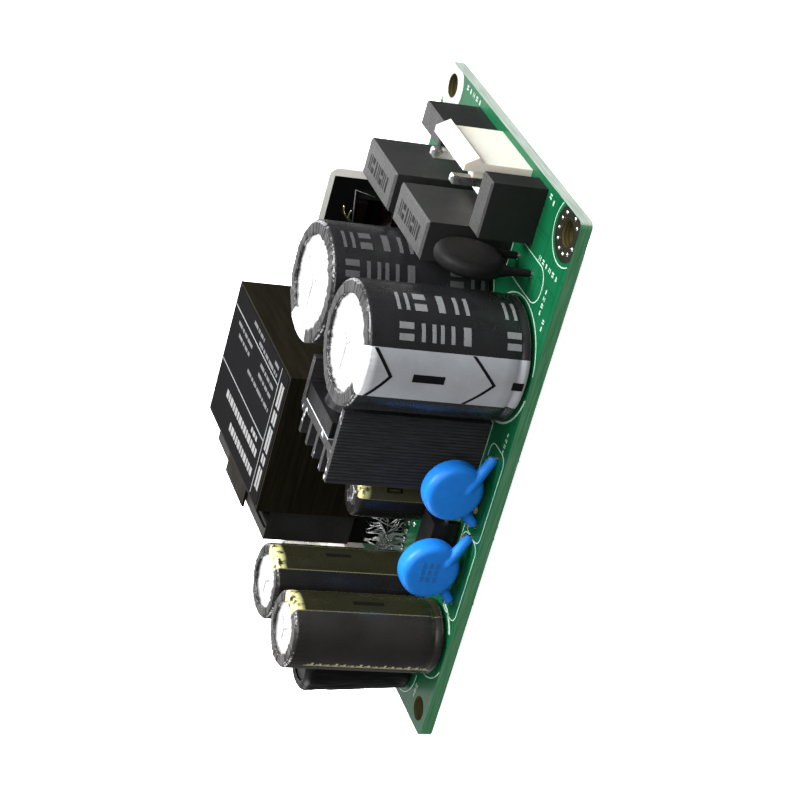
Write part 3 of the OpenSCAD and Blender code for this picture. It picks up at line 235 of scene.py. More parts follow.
# Brown walls of the mounting holes reach this far from their middles.
HOLE_WALL_R = 1.75
MASK_ROUGH = 0.34
CUT_EDGE_ROUGH = 0.6


def board_material():
    """Green mask over copper, pale laminate at the cut edges and brown walls in the holes."""
    s = Shader("solder_mask_green", rough=MASK_ROUGH, shine=0.2)
    pours = s.calc("MAXIMUM", s.bricks(13.7, 6.1, 0.5, offset=0.37),
                   s.bricks(5.3, 3.05, 0.22, offset=0.61))
    cloud = s.swing(s.noise(0.1))
    bare = s.mix(cloud, (0.0015, 0.056, 0.021), (0.002, 0.069, 0.026))
    over_copper = s.mix(cloud, (0.002, 0.066, 0.024), (0.003, 0.086, 0.032))
    plies = s.noise(1.6, detail=4.0, at=s.stretch((0.1, 0.1, 2.6)))
    fibre = s.ramp(plies, *CRISP_RANGE)
    long_edge = s.mix(fibre, (0.035, 0.19, 0.075), (0.11, 0.27, 0.15))
    short_edge = s.mix(fibre, (0.30, 0.40, 0.33), (0.52, 0.56, 0.52))
    hole_wall = s.mix(fibre, (0.035, 0.030, 0.008), (0.10, 0.075, 0.025))
    x, y, _ = s.xyz()
    off_x = s.calc("SUBTRACT", s.calc("ABSOLUTE", x), HOLE_X * MM)
    off_y = s.calc("SUBTRACT", s.calc("ABSOLUTE", y), HOLE_Y * MM)
    squares = s.calc("ADD", s.calc("MULTIPLY", off_x, off_x), s.calc("MULTIPLY", off_y, off_y))
    in_hole = s.calc("LESS_THAN", s.calc("SQRT", squares), HOLE_WALL_R * MM)
    at_end = s.ramp(s.calc("ABSOLUTE", s.normal()[0]), 0.6, 0.8)
    laminate = s.mix(in_hole, s.mix(at_end, long_edge, short_edge), hole_wall)
    face = s.ramp(s.calc("ABSOLUTE", s.normal()[2]), 0.4, 0.6)
    s.set(Base_Color=s.mix(face, laminate, s.mix(pours, over_copper, bare)))
    s.set(Roughness=s.ramp(face, 0.0, 1.0, CUT_EDGE_ROUGH, MASK_ROUGH))
    relief = s.calc("SUBTRACT", s.calc("MULTIPLY", s.noise(2.4), 0.25),
                    s.calc("MULTIPLY", pours, 0.5))
    s.bump(relief, 0.02, strength=0.5)


# Strength of a metal's colour in its dull streaks, and how far its roughness swings
DULL = 0.8
ROUGH_SWING = (0.75, 1.3)


def metal(name, color, rough, streak=(6.0, 6.0, 1.0), depth_mm=0.004):
    """Bare or plated metal with dull streaks."""
    s = Shader(name, color=color, metal=1.0, rough=rough)
    wear = s.noise(0.5, at=s.stretch(streak))
    s.set(Base_Color=s.mix(s.ramp(wear, *WEAR_RANGE), shade(color, DULL), color))
    s.set(Roughness=s.swing(s.noise(1.0), *(rough * share for share in ROUGH_SWING)))
    s.bump(wear, depth_mm)


def sink_material():
    """Black anodising, sawn ends, a few bright spots there: part bare metal, part painted
    highlight.
    """
    s = Shader("anodised_black", rough=0.55, shine=0.25)
    drawn = s.noise(3.0, detail=4.0, at=s.stretch((1.0, 1.0, 0.1)))
    coat = s.mix(s.swing(drawn), (0.014, 0.014, 0.015), (0.030, 0.030, 0.032))
    saw = s.noise(2.5, at=s.stretch((0.4, 2.5, 1.0)))
    end = s.mix(s.ramp(saw, *CRISP_RANGE), grey(0.012), grey(0.045))
    # Bright grey spots on the sawn ends: partly bare metal, partly a painted highlight.
    bare_and_highlight = s.ramp(s.noise(0.42, rough=0.6), 0.62, 0.68)
    end = s.mix(bare_and_highlight, end, grey(0.5))
    s.set(Base_Color=s.mix(s.ramp(s.normal()[2], 0.75, 0.9), coat, end))
    s.bump(drawn, 0.02)


def tape_material():
    """Brown-black film wound in layers round the transformer."""
    s = Shader("transformer_tape_film", shine=0.05)
    layers = s.noise(0.9, at=s.stretch((0.15, 0.15, 2.2)))
    crease = s.noise(0.22, twist=0.8)
    s.set(Base_Color=s.mix(s.swing(layers), (0.005, 0.004, 0.0018), (0.011, 0.009, 0.0045)))
    s.set(Roughness=s.swing(crease, 0.42, 0.6))
    s.bump(s.calc("ADD", layers, crease), 0.04)


WIRE_PITCH = 0.34


def wound_copper(name, dark, bright):
    """Enamelled wire, one turn beside the other along X, with painted shade and highlight on it."""
    s = Shader(name, metal=0.85, rough=0.34)
    turns = s.calc("SINE", s.calc("MULTIPLY", s.xyz()[0], 2 * pi / (WIRE_PITCH * MM)))
    # Each turn is painted dark in its grooves and bright on its crest: painted shade and highlight.
    s.set(Base_Color=s.mix(s.ramp(turns, -1, 1), dark, bright))
    s.bump(turns, 0.05)


def can_material():
    """Bright drawn aluminium."""
    s = Shader("can_aluminium", metal=1.0)
    drawn = s.noise(1.5, detail=4.0, at=s.stretch((1.0, 0.2, 1.0)))
    s.set(Base_Color=s.mix(s.ramp(drawn, *WEAR_RANGE), (0.84, 0.84, 0.85), (0.96, 0.96, 0.97)))
    s.set(Roughness=s.swing(s.noise(0.35), 0.24, 0.36))
    s.bump(drawn, 0.006)


# Depths under the rim between which the band becomes a painted highlight, and the film's bump grows
RIM_HIGHLIGHT_DEPTHS = (1.5, 0.8)
BUMP_DEPTHS = (2.0, 0.5)
# Half the width of the thin lines beside a band, in radians
BAND_LINE = 0.012


def sleeve_material(can, film, band, band_from, band_to, edge, rim_highlight):
    """Shrunk black film with a band, which is painted far brighter on the rim as a highlight.

    Where edge is a colour, thin lines run beside the band and the rim's painted highlight is
    patchy.
    """
    centre, _, top, _ = CANS[can]
    s = Shader(can + "_skin", shine=0.42)
    x, y, z = s.xyz()
    from_y = s.calc("SUBTRACT", y, centre[1] * MM)
    from_x = s.calc("SUBTRACT", x, centre[0] * MM)
    turned = s.calc("ARCTAN2", from_y, from_x)
    middle = radians((band_from + band_to) / 2)
    half = radians((band_to - band_from) / 2)
    off = s.calc("ABSOLUTE", s.calc("WRAP", s.calc("SUBTRACT", turned, middle), pi, -pi))
    cloud = s.noise(0.2)
    dark = s.tones(cloud, film, 0.8, 1.25)
    printed = s.tones(cloud, band, 0.9, 1.1)
    # Near the rim the band is painted far brighter: a painted highlight on the crinkled film.
    bright = s.ramp(z, *((top - depth) * MM for depth in RIM_HIGHLIGHT_DEPTHS))
    if edge:
        highlight_patches = s.ramp(s.noise(1.1, rough=0.6), 0.37, 0.50)
        bright = s.calc("MULTIPLY", bright, highlight_patches)
    printed = s.mix(bright, printed, rim_highlight)
    color = s.mix(s.calc("LESS_THAN", off, half), dark, printed)
    if edge:
        from_line = s.calc("ABSOLUTE", s.calc("SUBTRACT", off, half))
        color = s.mix(s.calc("LESS_THAN", from_line, BAND_LINE), color, edge)
    s.set(Base_Color=color)
    s.set(Roughness=s.swing(s.noise(0.5), 0.22, 0.34))
    near_rim = s.ramp(z, *((top - depth) * MM for depth in BUMP_DEPTHS), 0.08, 1.0)
    s.bump(s.calc("MULTIPLY", s.noise(0.9, detail=2.0, twist=0.6), near_rim), 0.07)


# Round capacitors: centre, outside radius, height of the top, radius of the rim's opening.
CANS = {
    "bulk_capacitor_1": ((-15.15, 17.1), 8.05, 23.5, 6.15),
    "bulk_capacitor_2": ((-15.15, 0.9), 8.05, 23.5, 6.15),
    "bias_capacitor": ((9.55, 11.1), 3.15, 14.4, 1.8),
    "output_capacitor_1": ((25.3, 20.2), 5.05, 22.6, 3.5),
    "output_capacitor_2": ((24.7, 10.0), 5.05, 22.6, 3.6),
}

board_material()
metal("bright_tin", (0.80, 0.80, 0.81), 0.3, depth_mm=0.0015)
metal("solder", (0.72, 0.73, 0.75), 0.32, streak=(2.0, 2.0, 2.0))
metal("hot_air_levelled_tin", (0.88, 0.88, 0.87), 0.3, streak=(1.0, 1.0, 1.0))
moulded("fluxed_pad", (0.012, 0.012, 0.008), rough=(0.35, 0.5), shine=0.1)
moulded("flux_resin", (0.30, 0.28, 0.16), 0.2, rough=(0.2, 0.35), per_mm=3.0)
moulded("ivory_nylon", (0.79, 0.775, 0.69), 0.05, rough=(0.38, 0.5), per_mm=3.0, shine=0.3,
        Subsurface_Weight=0.25, Subsurface_Scale=0.002)
# The choke frame's nylon, painted paler than the header's: painted light glowing through the thin
# frame
moulded("frame_nylon", (0.89, 0.875, 0.82), 0.06, rough=(0.4, 0.55), per_mm=2.0, depth_mm=0.03,
        shine=0.3)
# Side colour, then the upper end's colour, which is painted much lighter as light from above
cast_case("grey_film_case", grey(0.010), grey(0.05))
cast_case("grey_fuse_case", grey(0.007), grey(0.036))
moulded("black_epoxy", (0.006, 0.006, 0.0065), shine=0.25)
moulded("black_dipped", grey(0.006), 0.2, rough=(0.6, 0.75), per_mm=2.0, depth_mm=0.04, shine=0.12)
moulded("black_phenolic", grey(0.004), 0.3, rough=(0.4, 0.55), shine=0.05)
moulded("ground_ferrite", (0.014, 0.014, 0.012), 0.3, rough=(0.45, 0.65), per_mm=4.0,
        depth_mm=0.02, shine=0.2)
moulded("seal_rubber", grey(0.02), 0.15, rough=(0.6, 0.75))
sink_material()
tape_material()
moulded("label_film_black", (0.009, 0.009, 0.0095), 0.12, rough=(0.5, 0.6), per_mm=3.0,
        depth_mm=0.006, shine=0.0)
wound_copper("enamelled_copper", (0.06, 0.022, 0.008), (0.30, 0.13, 0.05))
wound_copper("varnished_copper", (0.012, 0.006, 0.003), (0.06, 0.026, 0.010))
# Tinned strands, painted far darker than bright tin: painted shade of the dark gap by the
# transformer
metal("tinned_strand", grey(0.28), 0.3, depth_mm=0.002)
metal("bare_copper_lead", (0.95, 0.72, 0.46), 0.22)
can_material()
moulded("thermal_pad_grey", (0.42, 0.45, 0.47), 0.08, rough=(0.55, 0.7))
metal("black_zinc_plate", (0.045, 0.045, 0.048), 0.4)
moulded("blue_dipped_epoxy", (0.010, 0.19, 0.68), 0.12, rough=(0.36, 0.5), per_mm=1.2,
        depth_mm=0.03, shine=0.3)
moulded("chip_glaze", (0.02, 0.02, 0.022), 0.2)
moulded("chip_ceramic", (0.36, 0.24, 0.13), 0.15)
moulded("shrunk_tube", grey(0.007), 0.2, rough=(0.4, 0.55), per_mm=1.2, depth_mm=0.03, shine=0.12)
moulded("silkscreen_white", (0.34, 0.46, 0.38), 0.2, per_mm=3.0, depth_mm=0.004)
moulded("ink_pale", grey(0.19), 0.2, per_mm=4.0, depth_mm=0.004)
moulded("ink_grey", (0.20, 0.205, 0.21), 0.15, per_mm=5.0, depth_mm=0.004)
moulded("ink_dim", (0.085, 0.085, 0.088), 0.25, per_mm=4.0, depth_mm=0.004)
moulded("ink_dark", (0.006, 0.006, 0.0065), 0.2, per_mm=5.0, depth_mm=0.004, shine=0.1)
moulded("ink_blue", (0.012, 0.13, 0.42), 0.25, per_mm=5.0, depth_mm=0.004)
moulded("ink_gold", (0.42, 0.38, 0.22), 0.25, per_mm=5.0, depth_mm=0.004)

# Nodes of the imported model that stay, by finish
NODE_FINISH = {
    "solder_mask_green": "circuit_board",
    "solder": "solder_joints",
    "ivory_nylon": "inlet_header_housing output_connector_housing",
    "frame_nylon": "choke_frame",
    "bright_tin": "inlet_header_posts output_connector_posts fuse_leads x_capacitor_leads "
                  "inrush_thermistor_leads choke_pins bridge_rectifier_leads capacitor_leads "
                  "heat_sink_pins transistor_leads transformer_pins transformer_lead_wires "
                  "y_capacitor_leads optocoupler_leads controller_leads",
    "grey_fuse_case": "line_fuse_body neutral_fuse_body",
    "grey_film_case": "x_capacitor_1_case x_capacitor_2_case",
    "ground_ferrite": "choke_core transformer_core_inlet_half transformer_core_output_half "
                      "output_choke_core",
    "black_phenolic": "choke_bobbin transformer_bobbin",
    "enamelled_copper": "transformer_winding output_choke_winding",
    "varnished_copper": "choke_windings",
    "black_epoxy": "bridge_rectifier_body transistor_body optocoupler_body controller_body "
                   "output_rectifier",
    "can_aluminium": " ".join(can + "_can" for can in CANS),
    "seal_rubber": "capacitor_seals",
    "anodised_black": "heat_sink",
    "thermal_pad_grey": "transistor_pad",
    "black_zinc_plate": "transistor_screw",
    "transformer_tape_film": "transformer_wrap",
    "chip_glaze": "chip_resistors",
    "chip_ceramic": "chip_capacitors",
}


def dress(mesh, finish):
    mesh.materials.clear()
    mesh.materials.append(FINISHES[finish])


for finish, nodes in NODE_FINISH.items():
    for node in nodes.split():
        dress(NODES[node].data, finish)


# Pieces


def mesh_of(name, bm):
    mesh = bpy.data.meshes.new(name)
    bm.to_mesh(mesh)
    bm.free()
    return mesh


def add_piece(name, mesh, finish, stands_for):
    """Puts a mesh in metres into the part, on its one body."""
    dress(mesh, finish)
    obj = add_object(name, mesh)
    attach(obj, "root")
    if stands_for:
        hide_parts(*stands_for)


def piece(name, bm, finish, slot, smooth=True, stands_for=()):
    """Makes a mesh piece of the part from a bmesh in millimetres."""
    bmesh.ops.recalc_face_normals(bm, faces=bm.faces)
    for face in bm.faces:
        face.smooth = smooth
    bm.transform(Matrix.Scale(MM, 4))
    add_piece(name, mesh_of(name, bm), finish, stands_for)


DIP_VOXEL = 0.11
DIP_ROUNDS = 9


def dipped_piece(name, bm, finish, stands_for):
    """Fuses overlapping closed shapes in millimetres into one smooth dipped skin."""
    bmesh.ops.recalc_face_normals(bm, faces=bm.faces)
    helper = add_object(name + "_rough", mesh_of(name + "_rough", bm))
    fuse = helper.modifiers.new("fuse", "REMESH")
    fuse.mode = "VOXEL"
    fuse.voxel_size = DIP_VOXEL
    ease = helper.modifiers.new("ease", "SMOOTH")
    ease.iterations = DIP_ROUNDS
    bpy.context.view_layer.update()
    graph = bpy.context.evaluated_depsgraph_get()
    mesh = bpy.data.meshes.new_from_object(helper.evaluated_get(graph))
    bpy.data.objects.remove(helper)
    mesh.name = name
    mesh.transform(Matrix.Scale(MM, 4))
    mesh.polygons.foreach_set("use_smooth", [True] * len(mesh.polygons))
    add_piece(name, mesh, finish, stands_for)


def join_capped(bm, rings):
    """Joins each ring of points to the next, and shuts the first and the last."""
    rings = [[bm.verts.new(point) for point in ring] for ring in rings]
    for a, b in zip(rings, rings[1:]):
        for i in range(len(a)):
            j = (i + 1) % len(a)
            bm.faces.new((a[i], a[j], b[j], b[i]))
    bm.faces.new(rings[0])
    bm.faces.new(rings[-1])


def join_round(bm, loops):
    """Joins each loop of points to the next, and the last one to the first."""
    loops = [[bm.verts.new(point) for point in loop] for loop in loops]
    for a, b in zip(loops, loops[1:] + loops[:1]):
        for i in range(len(a)):
            j = (i + 1) % len(a)
            bm.faces.new((a[i], b[i], b[j], a[j]))


def turns(count):
    """Angles of equal steps round a circle."""
    return [2 * pi * step / count for step in range(count)]


def on_circle(centre, radius, angle):
    return centre[0] + radius * cos(angle), centre[1] + radius * sin(angle)


def arc(centre, radius, start, end, step=6.0):
    """Points along an arc, not more than step degrees apart."""
    count = max(2, ceil(abs(end - start) / step))
    return [on_circle(centre, radius, radians(start + (end - start) * i / count))
            for i in range(count + 1)]


def rounded_box(x0, x1, y0, y1, r):
    """Points round a rectangle with rounded corners."""
    made = []
    for cx, cy, start in ((x1 - r, y1 - r, 0), (x0 + r, y1 - r, 90),
                          (x0 + r, y0 + r, 180), (x1 - r, y0 + r, 270)):
        made += arc((cx, cy), r, start, start + 90, 15)
    return made


def turned_shell(bm, loop, segments, place, ripple):
    """Turns a loop of (radius, height) points round. ripple moves them, place maps them."""
    loops = []
    for angle in turns(segments):
        points = [ripple(angle, index, r, z) for index, (r, z) in enumerate(loop)]
        loops.append([place(r * cos(angle), r * sin(angle), z) for r, z in points])
    join_round(bm, loops)


# Where the points of a tube's first ring start. No tube here runs this way.
TUBE_SIDE = (0.31, 0.22, 0.93)


def tube(bm, points, radii, sides=10):
    """A closed round tube along points, with one radius for each point."""
    rings = []
    side = Vector(TUBE_SIDE)
    for index, point in enumerate(points):
        before = Vector(points[max(index - 1, 0)])
        after = Vector(points[min(index + 1, len(points) - 1)])
        along = (after - before).normalized()
        side = (side - along * side.dot(along)).normalized()
        other = along.cross(side)
        rings.append([Vector(point) + (side * cos(a) + other * sin(a)) * radii[index]
                      for a in turns(sides)])
    join_capped(bm, rings)


def curved(points, steps=6):
    """Points on a smooth curve through the given points."""
    made = []
    ends = [points[0]] + list(points) + [points[-1]]
    for i in range(1, len(ends) - 2):
        p0, p1, p2, p3 = (Vector(ends[i + k]) for k in (-1, 0, 1, 2))
        for step in range(steps):
            t = step / steps
            made.append(0.5 * (2 * p1 + (p2 - p0) * t + (2 * p0 - 5 * p1 + 4 * p2 - p3) * t * t
                               + (3 * p1 - p0 - 3 * p2 + p3) * t ** 3))
    made.append(Vector(points[-1]))
    return made


# Printing. A bar is four corners, (across, along), where along is the way the print runs.

INK_T = 0.03
# Shares of a mark's size: the width of its strokes, and half the gap between two of them
STROKE_SHARE = 0.26
GAP_SHARE = 0.13
SHORTEST_BAR = 0.3
# On a can the ink starts this far off the film, and bends at every so many degrees.
INK_OFF = 0.005
INK_BEND = 4


def bar(a0, a1, z0, z1):
    return [(a0, z0), (a1, z0), (a1, z1), (a0, z1)]


def mark(kind, a0, a1, z0, z1):
    """One place of a printed row, filled with plain bars in one of three ways."""
    stroke = (z1 - z0) * STROKE_SHARE
    middle = (a0 + a1) / 2
    gap = (a1 - a0) * GAP_SHARE
    if kind == 0:
        return [bar(a0, a1, z0, z0 + stroke), bar(a0, a1, z1 - stroke, z1)]
    if kind == 1:
        return [bar(a0, a1, (z0 + z1) / 2 - stroke, (z0 + z1) / 2 + stroke)]
    return [bar(a0, middle - gap, z0, z1), bar(middle + gap, a1, z0, z1)]


def row_of_bars(across, start, end, height, lengths, gap):
    """A row of print as bars of several lengths, between two places along it."""
    made = []
    at = start
    while at < end - SHORTEST_BAR:
        stop = min(at + lengths[len(made) % len(lengths)], end)
        made.append(bar(across - height / 2, across + height / 2, at, stop))
        at = stop + gap
    return made


def prism(bm, shape, low, lift=INK_T):
    """A flat polygon of (x, y) points, given a thickness."""
    join_capped(bm, [[(x, y, z) for x, y in shape] for z in (low, low + lift)])


def flat_print(name, shapes, low, ink, slot):
    """Ink on a level face at the height low: polygons of (x, y) points."""
    bm = bmesh.new()
    for shape in shapes:
        prism(bm, shape, low)
    piece(name, bm, ink, slot, smooth=False)


def ribbon(bm, points, width, low, closed=False):
    """A line of ink along (x, y) points."""
    high = low + INK_T
    rings = []
    for i, point in enumerate(points):
        before = points[i - 1] if i or closed else point
        after = points[(i + 1) % len(points)] if i + 1 < len(points) or closed else point
        along = (Vector(after) - Vector(before)).normalized()
        side = Vector((-along.y, along.x)) * width / 2
        left, right = Vector(point) + side, Vector(point) - side
        corners = ((left, low), (left, high), (right, high), (right, low))
        rings.append([(*place, z) for place, z in corners])
    (join_round if closed else join_capped)(bm, rings)


def sleeve_slot(can):
    return "bulk_sleeve" if can.startswith("bulk") else "output_sleeve"


def can_print(name, can, shapes, ink):
    """Ink on a can: polygons of (angle in degrees, height), bent round the sleeve."""
    centre, radius = CANS[can][0], CANS[can][1] + INK_OFF
    bm = bmesh.new()
    for shape in shapes:
        flat = bmesh.new()
        flat.faces.new([flat.verts.new((a, z, 0)) for a, z in shape])
        low, high = min(a for a, z in shape), max(a for a, z in shape)
        cut = ceil(low / INK_BEND) * INK_BEND
        while cut < high:
            bmesh.ops.bisect_plane(flat, geom=flat.verts[:] + flat.edges[:] + flat.faces[:],
                                   plane_co=(cut, 0, 0), plane_no=(1, 0, 0))
            cut += INK_BEND
        layers = []
        for reach in (radius, radius + INK_T):
            bent = {v: on_circle(centre, reach, radians(v.co.x)) for v in flat.verts}
            layers.append({v: bm.verts.new((*bent[v], v.co.y)) for v in flat.verts})
        for face in flat.faces:
            for layer in layers:
                bm.faces.new([layer[v] for v in face.verts])
        for edge in flat.edges:
            if len(edge.link_faces) == 1:
                a, b = edge.verts
                bm.faces.new([layers[0][a], layers[0][b], layers[1][b], layers[1][a]])
        flat.free()
    piece(name, bm, ink, sleeve_slot(can), smooth=False)


# Capacitor sleeves, shrunk over the cans

FILM_T = 0.18
FOOT_Z = 2.0
FOOT_EASE = 0.2
# The groove over the rubber seal: middle, depth, half height, half height of its floor, and the
# share of the depth where the floor begins
GROOVE_Z = 3.3
GROOVE_DEPTH = 0.25
GROOVE_HALF = 0.6
GROOVE_FLOOR = 0.2
GROOVE_SHARE = 0.7
SHOULDER_R = 0.5
SHOULDER_STEP = 10
SIDE_ROWS = 14
# Steps from the shoulder in to the rim's opening
RIM_STEPS = (0.35, 0.7, 1.0)
# Inside, the film keeps clear of the opening down to this depth.
OPENING_DEPTH = 0.3
SLEEVE_SEGMENTS = 288
# Crinkles of the shrunk end: how far down they reach, and the seed from one can to the next
CRINKLE_REACH = 2.6
CRINKLE_SEED = 3.7
# Folds, finer folds, swells and waves of the opening: how close they are, and their shares
FOLD_RATE, FINE_RATE, SWELL_RATE, WAVE_RATE = 1.5, 3.4, 0.5, 0.9
FOLD_PUSH, FINE_PUSH, SWELL_PUSH, WAVE_PUSH = 0.8, 0.5, 0.6, 0.35
SWELL_AT = 5.0
SWELL_DRIFT = 0.35
# Points this close to the top belong to the rim, which may rise by the second number.
RIM_DEPTH = 0.02
RIM_RISE = 0.15


def shrunk_sleeve(can, seed, crinkle):
    """The film of one can, with its groove, its shoulder and its crinkled rim."""
    centre, radius, top, opening = CANS[can]
    floor_edge = radius - GROOVE_DEPTH * GROOVE_SHARE
    side_start = GROOVE_Z + GROOVE_HALF
    rim_start = radius - SHOULDER_R
    outer = [(radius - FOOT_EASE, FOOT_Z), (radius, FOOT_Z + FOOT_EASE),
             (radius, GROOVE_Z - GROOVE_HALF), (floor_edge, GROOVE_Z - GROOVE_FLOOR),
             (radius - GROOVE_DEPTH, GROOVE_Z), (floor_edge, GROOVE_Z + GROOVE_FLOOR),
             (radius, side_start)]
    outer += [(radius, side_start + row / SIDE_ROWS * (top - SHOULDER_R - side_start))
              for row in range(1, SIDE_ROWS)]
    outer += arc((rim_start, top - SHOULDER_R), SHOULDER_R, 0, 90, SHOULDER_STEP)
    outer += [(rim_start + share * (opening - rim_start), top) for share in RIM_STEPS]
    lid = top - FILM_T
    inner = [(max(opening, r - FILM_T) if z > top - OPENING_DEPTH else r - FILM_T, min(z, lid))
             for r, z in reversed(outer)]

    def ripple(angle, index, r, z):
        near_top = max(0.0, min(1.0, (z - (top - CRINKLE_REACH)) / CRINKLE_REACH))
        if index >= len(outer) or near_top <= 0:
            return r, z
        around = Vector((cos(angle) * radius, sin(angle) * radius, seed))
        fold = abs(noise.noise(around * FOLD_RATE)) + FINE_PUSH * noise.noise(around * FINE_RATE)
        swell = noise.noise(around * SWELL_RATE + Vector((SWELL_AT, 0.0, z * SWELL_DRIFT)))
        push = crinkle * near_top * (FOLD_PUSH * fold + SWELL_PUSH * swell)
        if z >= top - RIM_DEPTH:
            inward = max(0.0, (rim_start - r) / (rim_start - opening))
            wave = WAVE_PUSH * inward * noise.noise(around * WAVE_RATE)
            return r + wave, z + max(0.0, min(RIM_RISE, push))
        return r - abs(push), z

    def place(x, y, z):
        return centre[0] + x, centre[1] + y, z

    bm = bmesh.new()
    turned_shell(bm, outer + inner, SLEEVE_SEGMENTS, place, ripple)
    piece(can + "_film", bm, can + "_skin", sleeve_slot(can), stands_for=(can + "_sleeve",))


# The rim colours are painted highlights of the bands, where the crinkled rims catch the light.
BULK_FILM = (0.013, 0.013, 0.014)
SILVER_BAND = (0.37, 0.385, 0.41)
SILVER_RIM_HIGHLIGHT = (0.75, 0.77, 0.80)
OUT_FILM = (0.020, 0.019, 0.017)
OUT_FILM_DARK = (0.010, 0.0095, 0.009)
OLIVE_BAND = (0.017, 0.0175, 0.008)
OLIVE_LIGHT = (0.042, 0.039, 0.017)
GOLD_RIM_HIGHLIGHT = (0.62, 0.60, 0.27)
GOLD_EDGE = (0.13, 0.12, 0.065)

# For each can: film, band, angles of the band, colour of its edges, its painted highlight on the
# rim, and depth of the crinkles
SLEEVES = [
    (BULK_FILM, SILVER_BAND, 66.0, 115.5, None, SILVER_RIM_HIGHLIGHT, 0.19),
    (BULK_FILM, SILVER_BAND, -30.0, 20.0, None, SILVER_RIM_HIGHLIGHT, 0.19),
    (OUT_FILM_DARK, OLIVE_LIGHT, 105.0, 150.0, GOLD_EDGE, GOLD_RIM_HIGHLIGHT, 0.12),
    (OUT_FILM, OLIVE_BAND, 153.0, 207.0, GOLD_EDGE, GOLD_RIM_HIGHLIGHT, 0.16),
    (OUT_FILM_DARK, OLIVE_BAND, 142.0, 196.0, GOLD_EDGE, GOLD_RIM_HIGHLIGHT, 0.16),
]
for index, (can, (*looks, crinkle)) in enumerate(zip(CANS, SLEEVES)):
    sleeve_material(can, *looks)
    shrunk_sleeve(can, CRINKLE_SEED * index, crinkle)

# Print on the bulk capacitors: two rows of plain marks, chevrons and minus bars. A mark is its
# kind, its start below the row's top, and its length.
ROW_ONE = ((0, 0.0, 1.6), (2, 2.3, 1.6), (1, 5.0, 1.7), (0, 7.6, 1.9))
ROW_TWO = ((2, 0.0, 1.9), (0, 2.9, 1.9), (0, 5.4, 1.9), (1, 8.0, 1.9))
ROW_ANGLES = ((151.5, 172.0), (123.0, 139.5))
ROW_REPEAT = 14.3
PRINT_FROM_Z = 2.3
PRINT_TO_Z = 22.6
MINUS_BARS = ((86.5, 94.0, 12.9, 17.1), (87.0, 94.5, 2.4, 3.9))
# Height of each chevron's tip and rise of its arms, then its angles and the far arm's share
CHEVRONS = ((20.0, 2.5), (6.3, 3.3))
CHEVRON_W = 0.5
CHEVRON_TIP = 90.0
CHEVRON_SIDES = (115.0, 66.5)
FAR_ARM = 0.93


def rating_marks(first_z):
    """Two rows of marks, repeated along the can. The first repeat has its top at first_z."""
    shapes = []
    for (a0, a1), marks in zip(ROW_ANGLES, (ROW_ONE, ROW_TWO)):
        for copy in (-1, 0, 1):
            for kind, start, length in marks:
                high = first_z - copy * ROW_REPEAT - start
                if high - length >= PRINT_FROM_Z and high <= PRINT_TO_Z:
                    shapes += mark(kind, a0, a1, high - length, high)
    return shapes


def slanted(a0, z0, a1, z1):
    """One arm of a chevron."""
    half = CHEVRON_W / 2
    return [(a0, z0 - half), (a1, z1 - half), (a1, z1 + half), (a0, z0 + half)]


can_print("bulk_1_row_marks", "bulk_capacitor_1", rating_marks(19.6), "ink_grey")
can_print("bulk_2_row_marks", "bulk_capacitor_2", rating_marks(21.9), "ink_dim")
band_marks = [bar(*sides) for sides in MINUS_BARS]
for tip, rise in CHEVRONS:
    band_marks.append(slanted(CHEVRON_SIDES[0], tip + rise, CHEVRON_TIP, tip))
    band_marks.append(slanted(CHEVRON_TIP, tip, CHEVRON_SIDES[1], tip + rise * FAR_ARM))
can_print("bulk_1_band_marks", "bulk_capacitor_1", band_marks, "ink_dark")

# Print on the small capacitors: dashes on the olive bands and a row of gold marks low down
BAND_DASHES = {
    "output_capacitor_1": [bar(167.5, 174.0, 10.1, 14.4)],
    "output_capacitor_2": [bar(168.6, 175.0, 11.9, 15.4)],
    "bias_capacitor": [bar(124.0, 127.0, 8.6, 10.8), bar(133.0, 136.0, 8.6, 10.8),
                       bar(127.0, 133.0, 8.6, 8.9), bar(127.0, 133.0, 10.5, 10.8)],
}
for can, shapes in BAND_DASHES.items():
    can_print(can + "_dashes", can, shapes, "ink_dark")

GOLD_LINE = (59.2, 60.6, 3.0, 20.4)
GOLD_MARKS = 15
GOLD_START_Z = 3.4
GOLD_STEP = 1.12
# Each gold mark is a bar of one of three lengths and a small dot: angles, then heights.
GOLD_BAR = (61.4, 64.4)
GOLD_GROWTH = 1.6
GOLD_BAR_H = 0.32
GOLD_DOT = (62.4, 63.6)
GOLD_DOT_TOP = 0.82
gold_line = [bar(*GOLD_LINE)]
for step in range(GOLD_MARKS):
    z = GOLD_START_Z + GOLD_STEP * step
    gold_line.append(bar(GOLD_BAR[0], GOLD_BAR[1] + GOLD_GROWTH * (step % 3), z, z + GOLD_BAR_H))
    gold_line.append(bar(*GOLD_DOT, z + GOLD_BAR_H, z + GOLD_DOT_TOP))
can_print("output_1_gold_marks", "output_capacitor_1", gold_line, "ink_gold")

# Transformer label: sides and corners, rules, rows of bars and two rows of light blocks
LABEL_BOX = (-1.7, 17.9, -24.0, 2.7, 0.6)
LABEL_Z = 23.6
LABEL_T = 0.08
LABEL_INK_Z = LABEL_Z + LABEL_T
RULES = (((1.15, -23.8), (1.15, -0.75)), ((9.7, -23.8), (9.7, -0.75)),
         ((-1.5, -0.55), (17.6, -0.55)))
RULE_W = 0.17
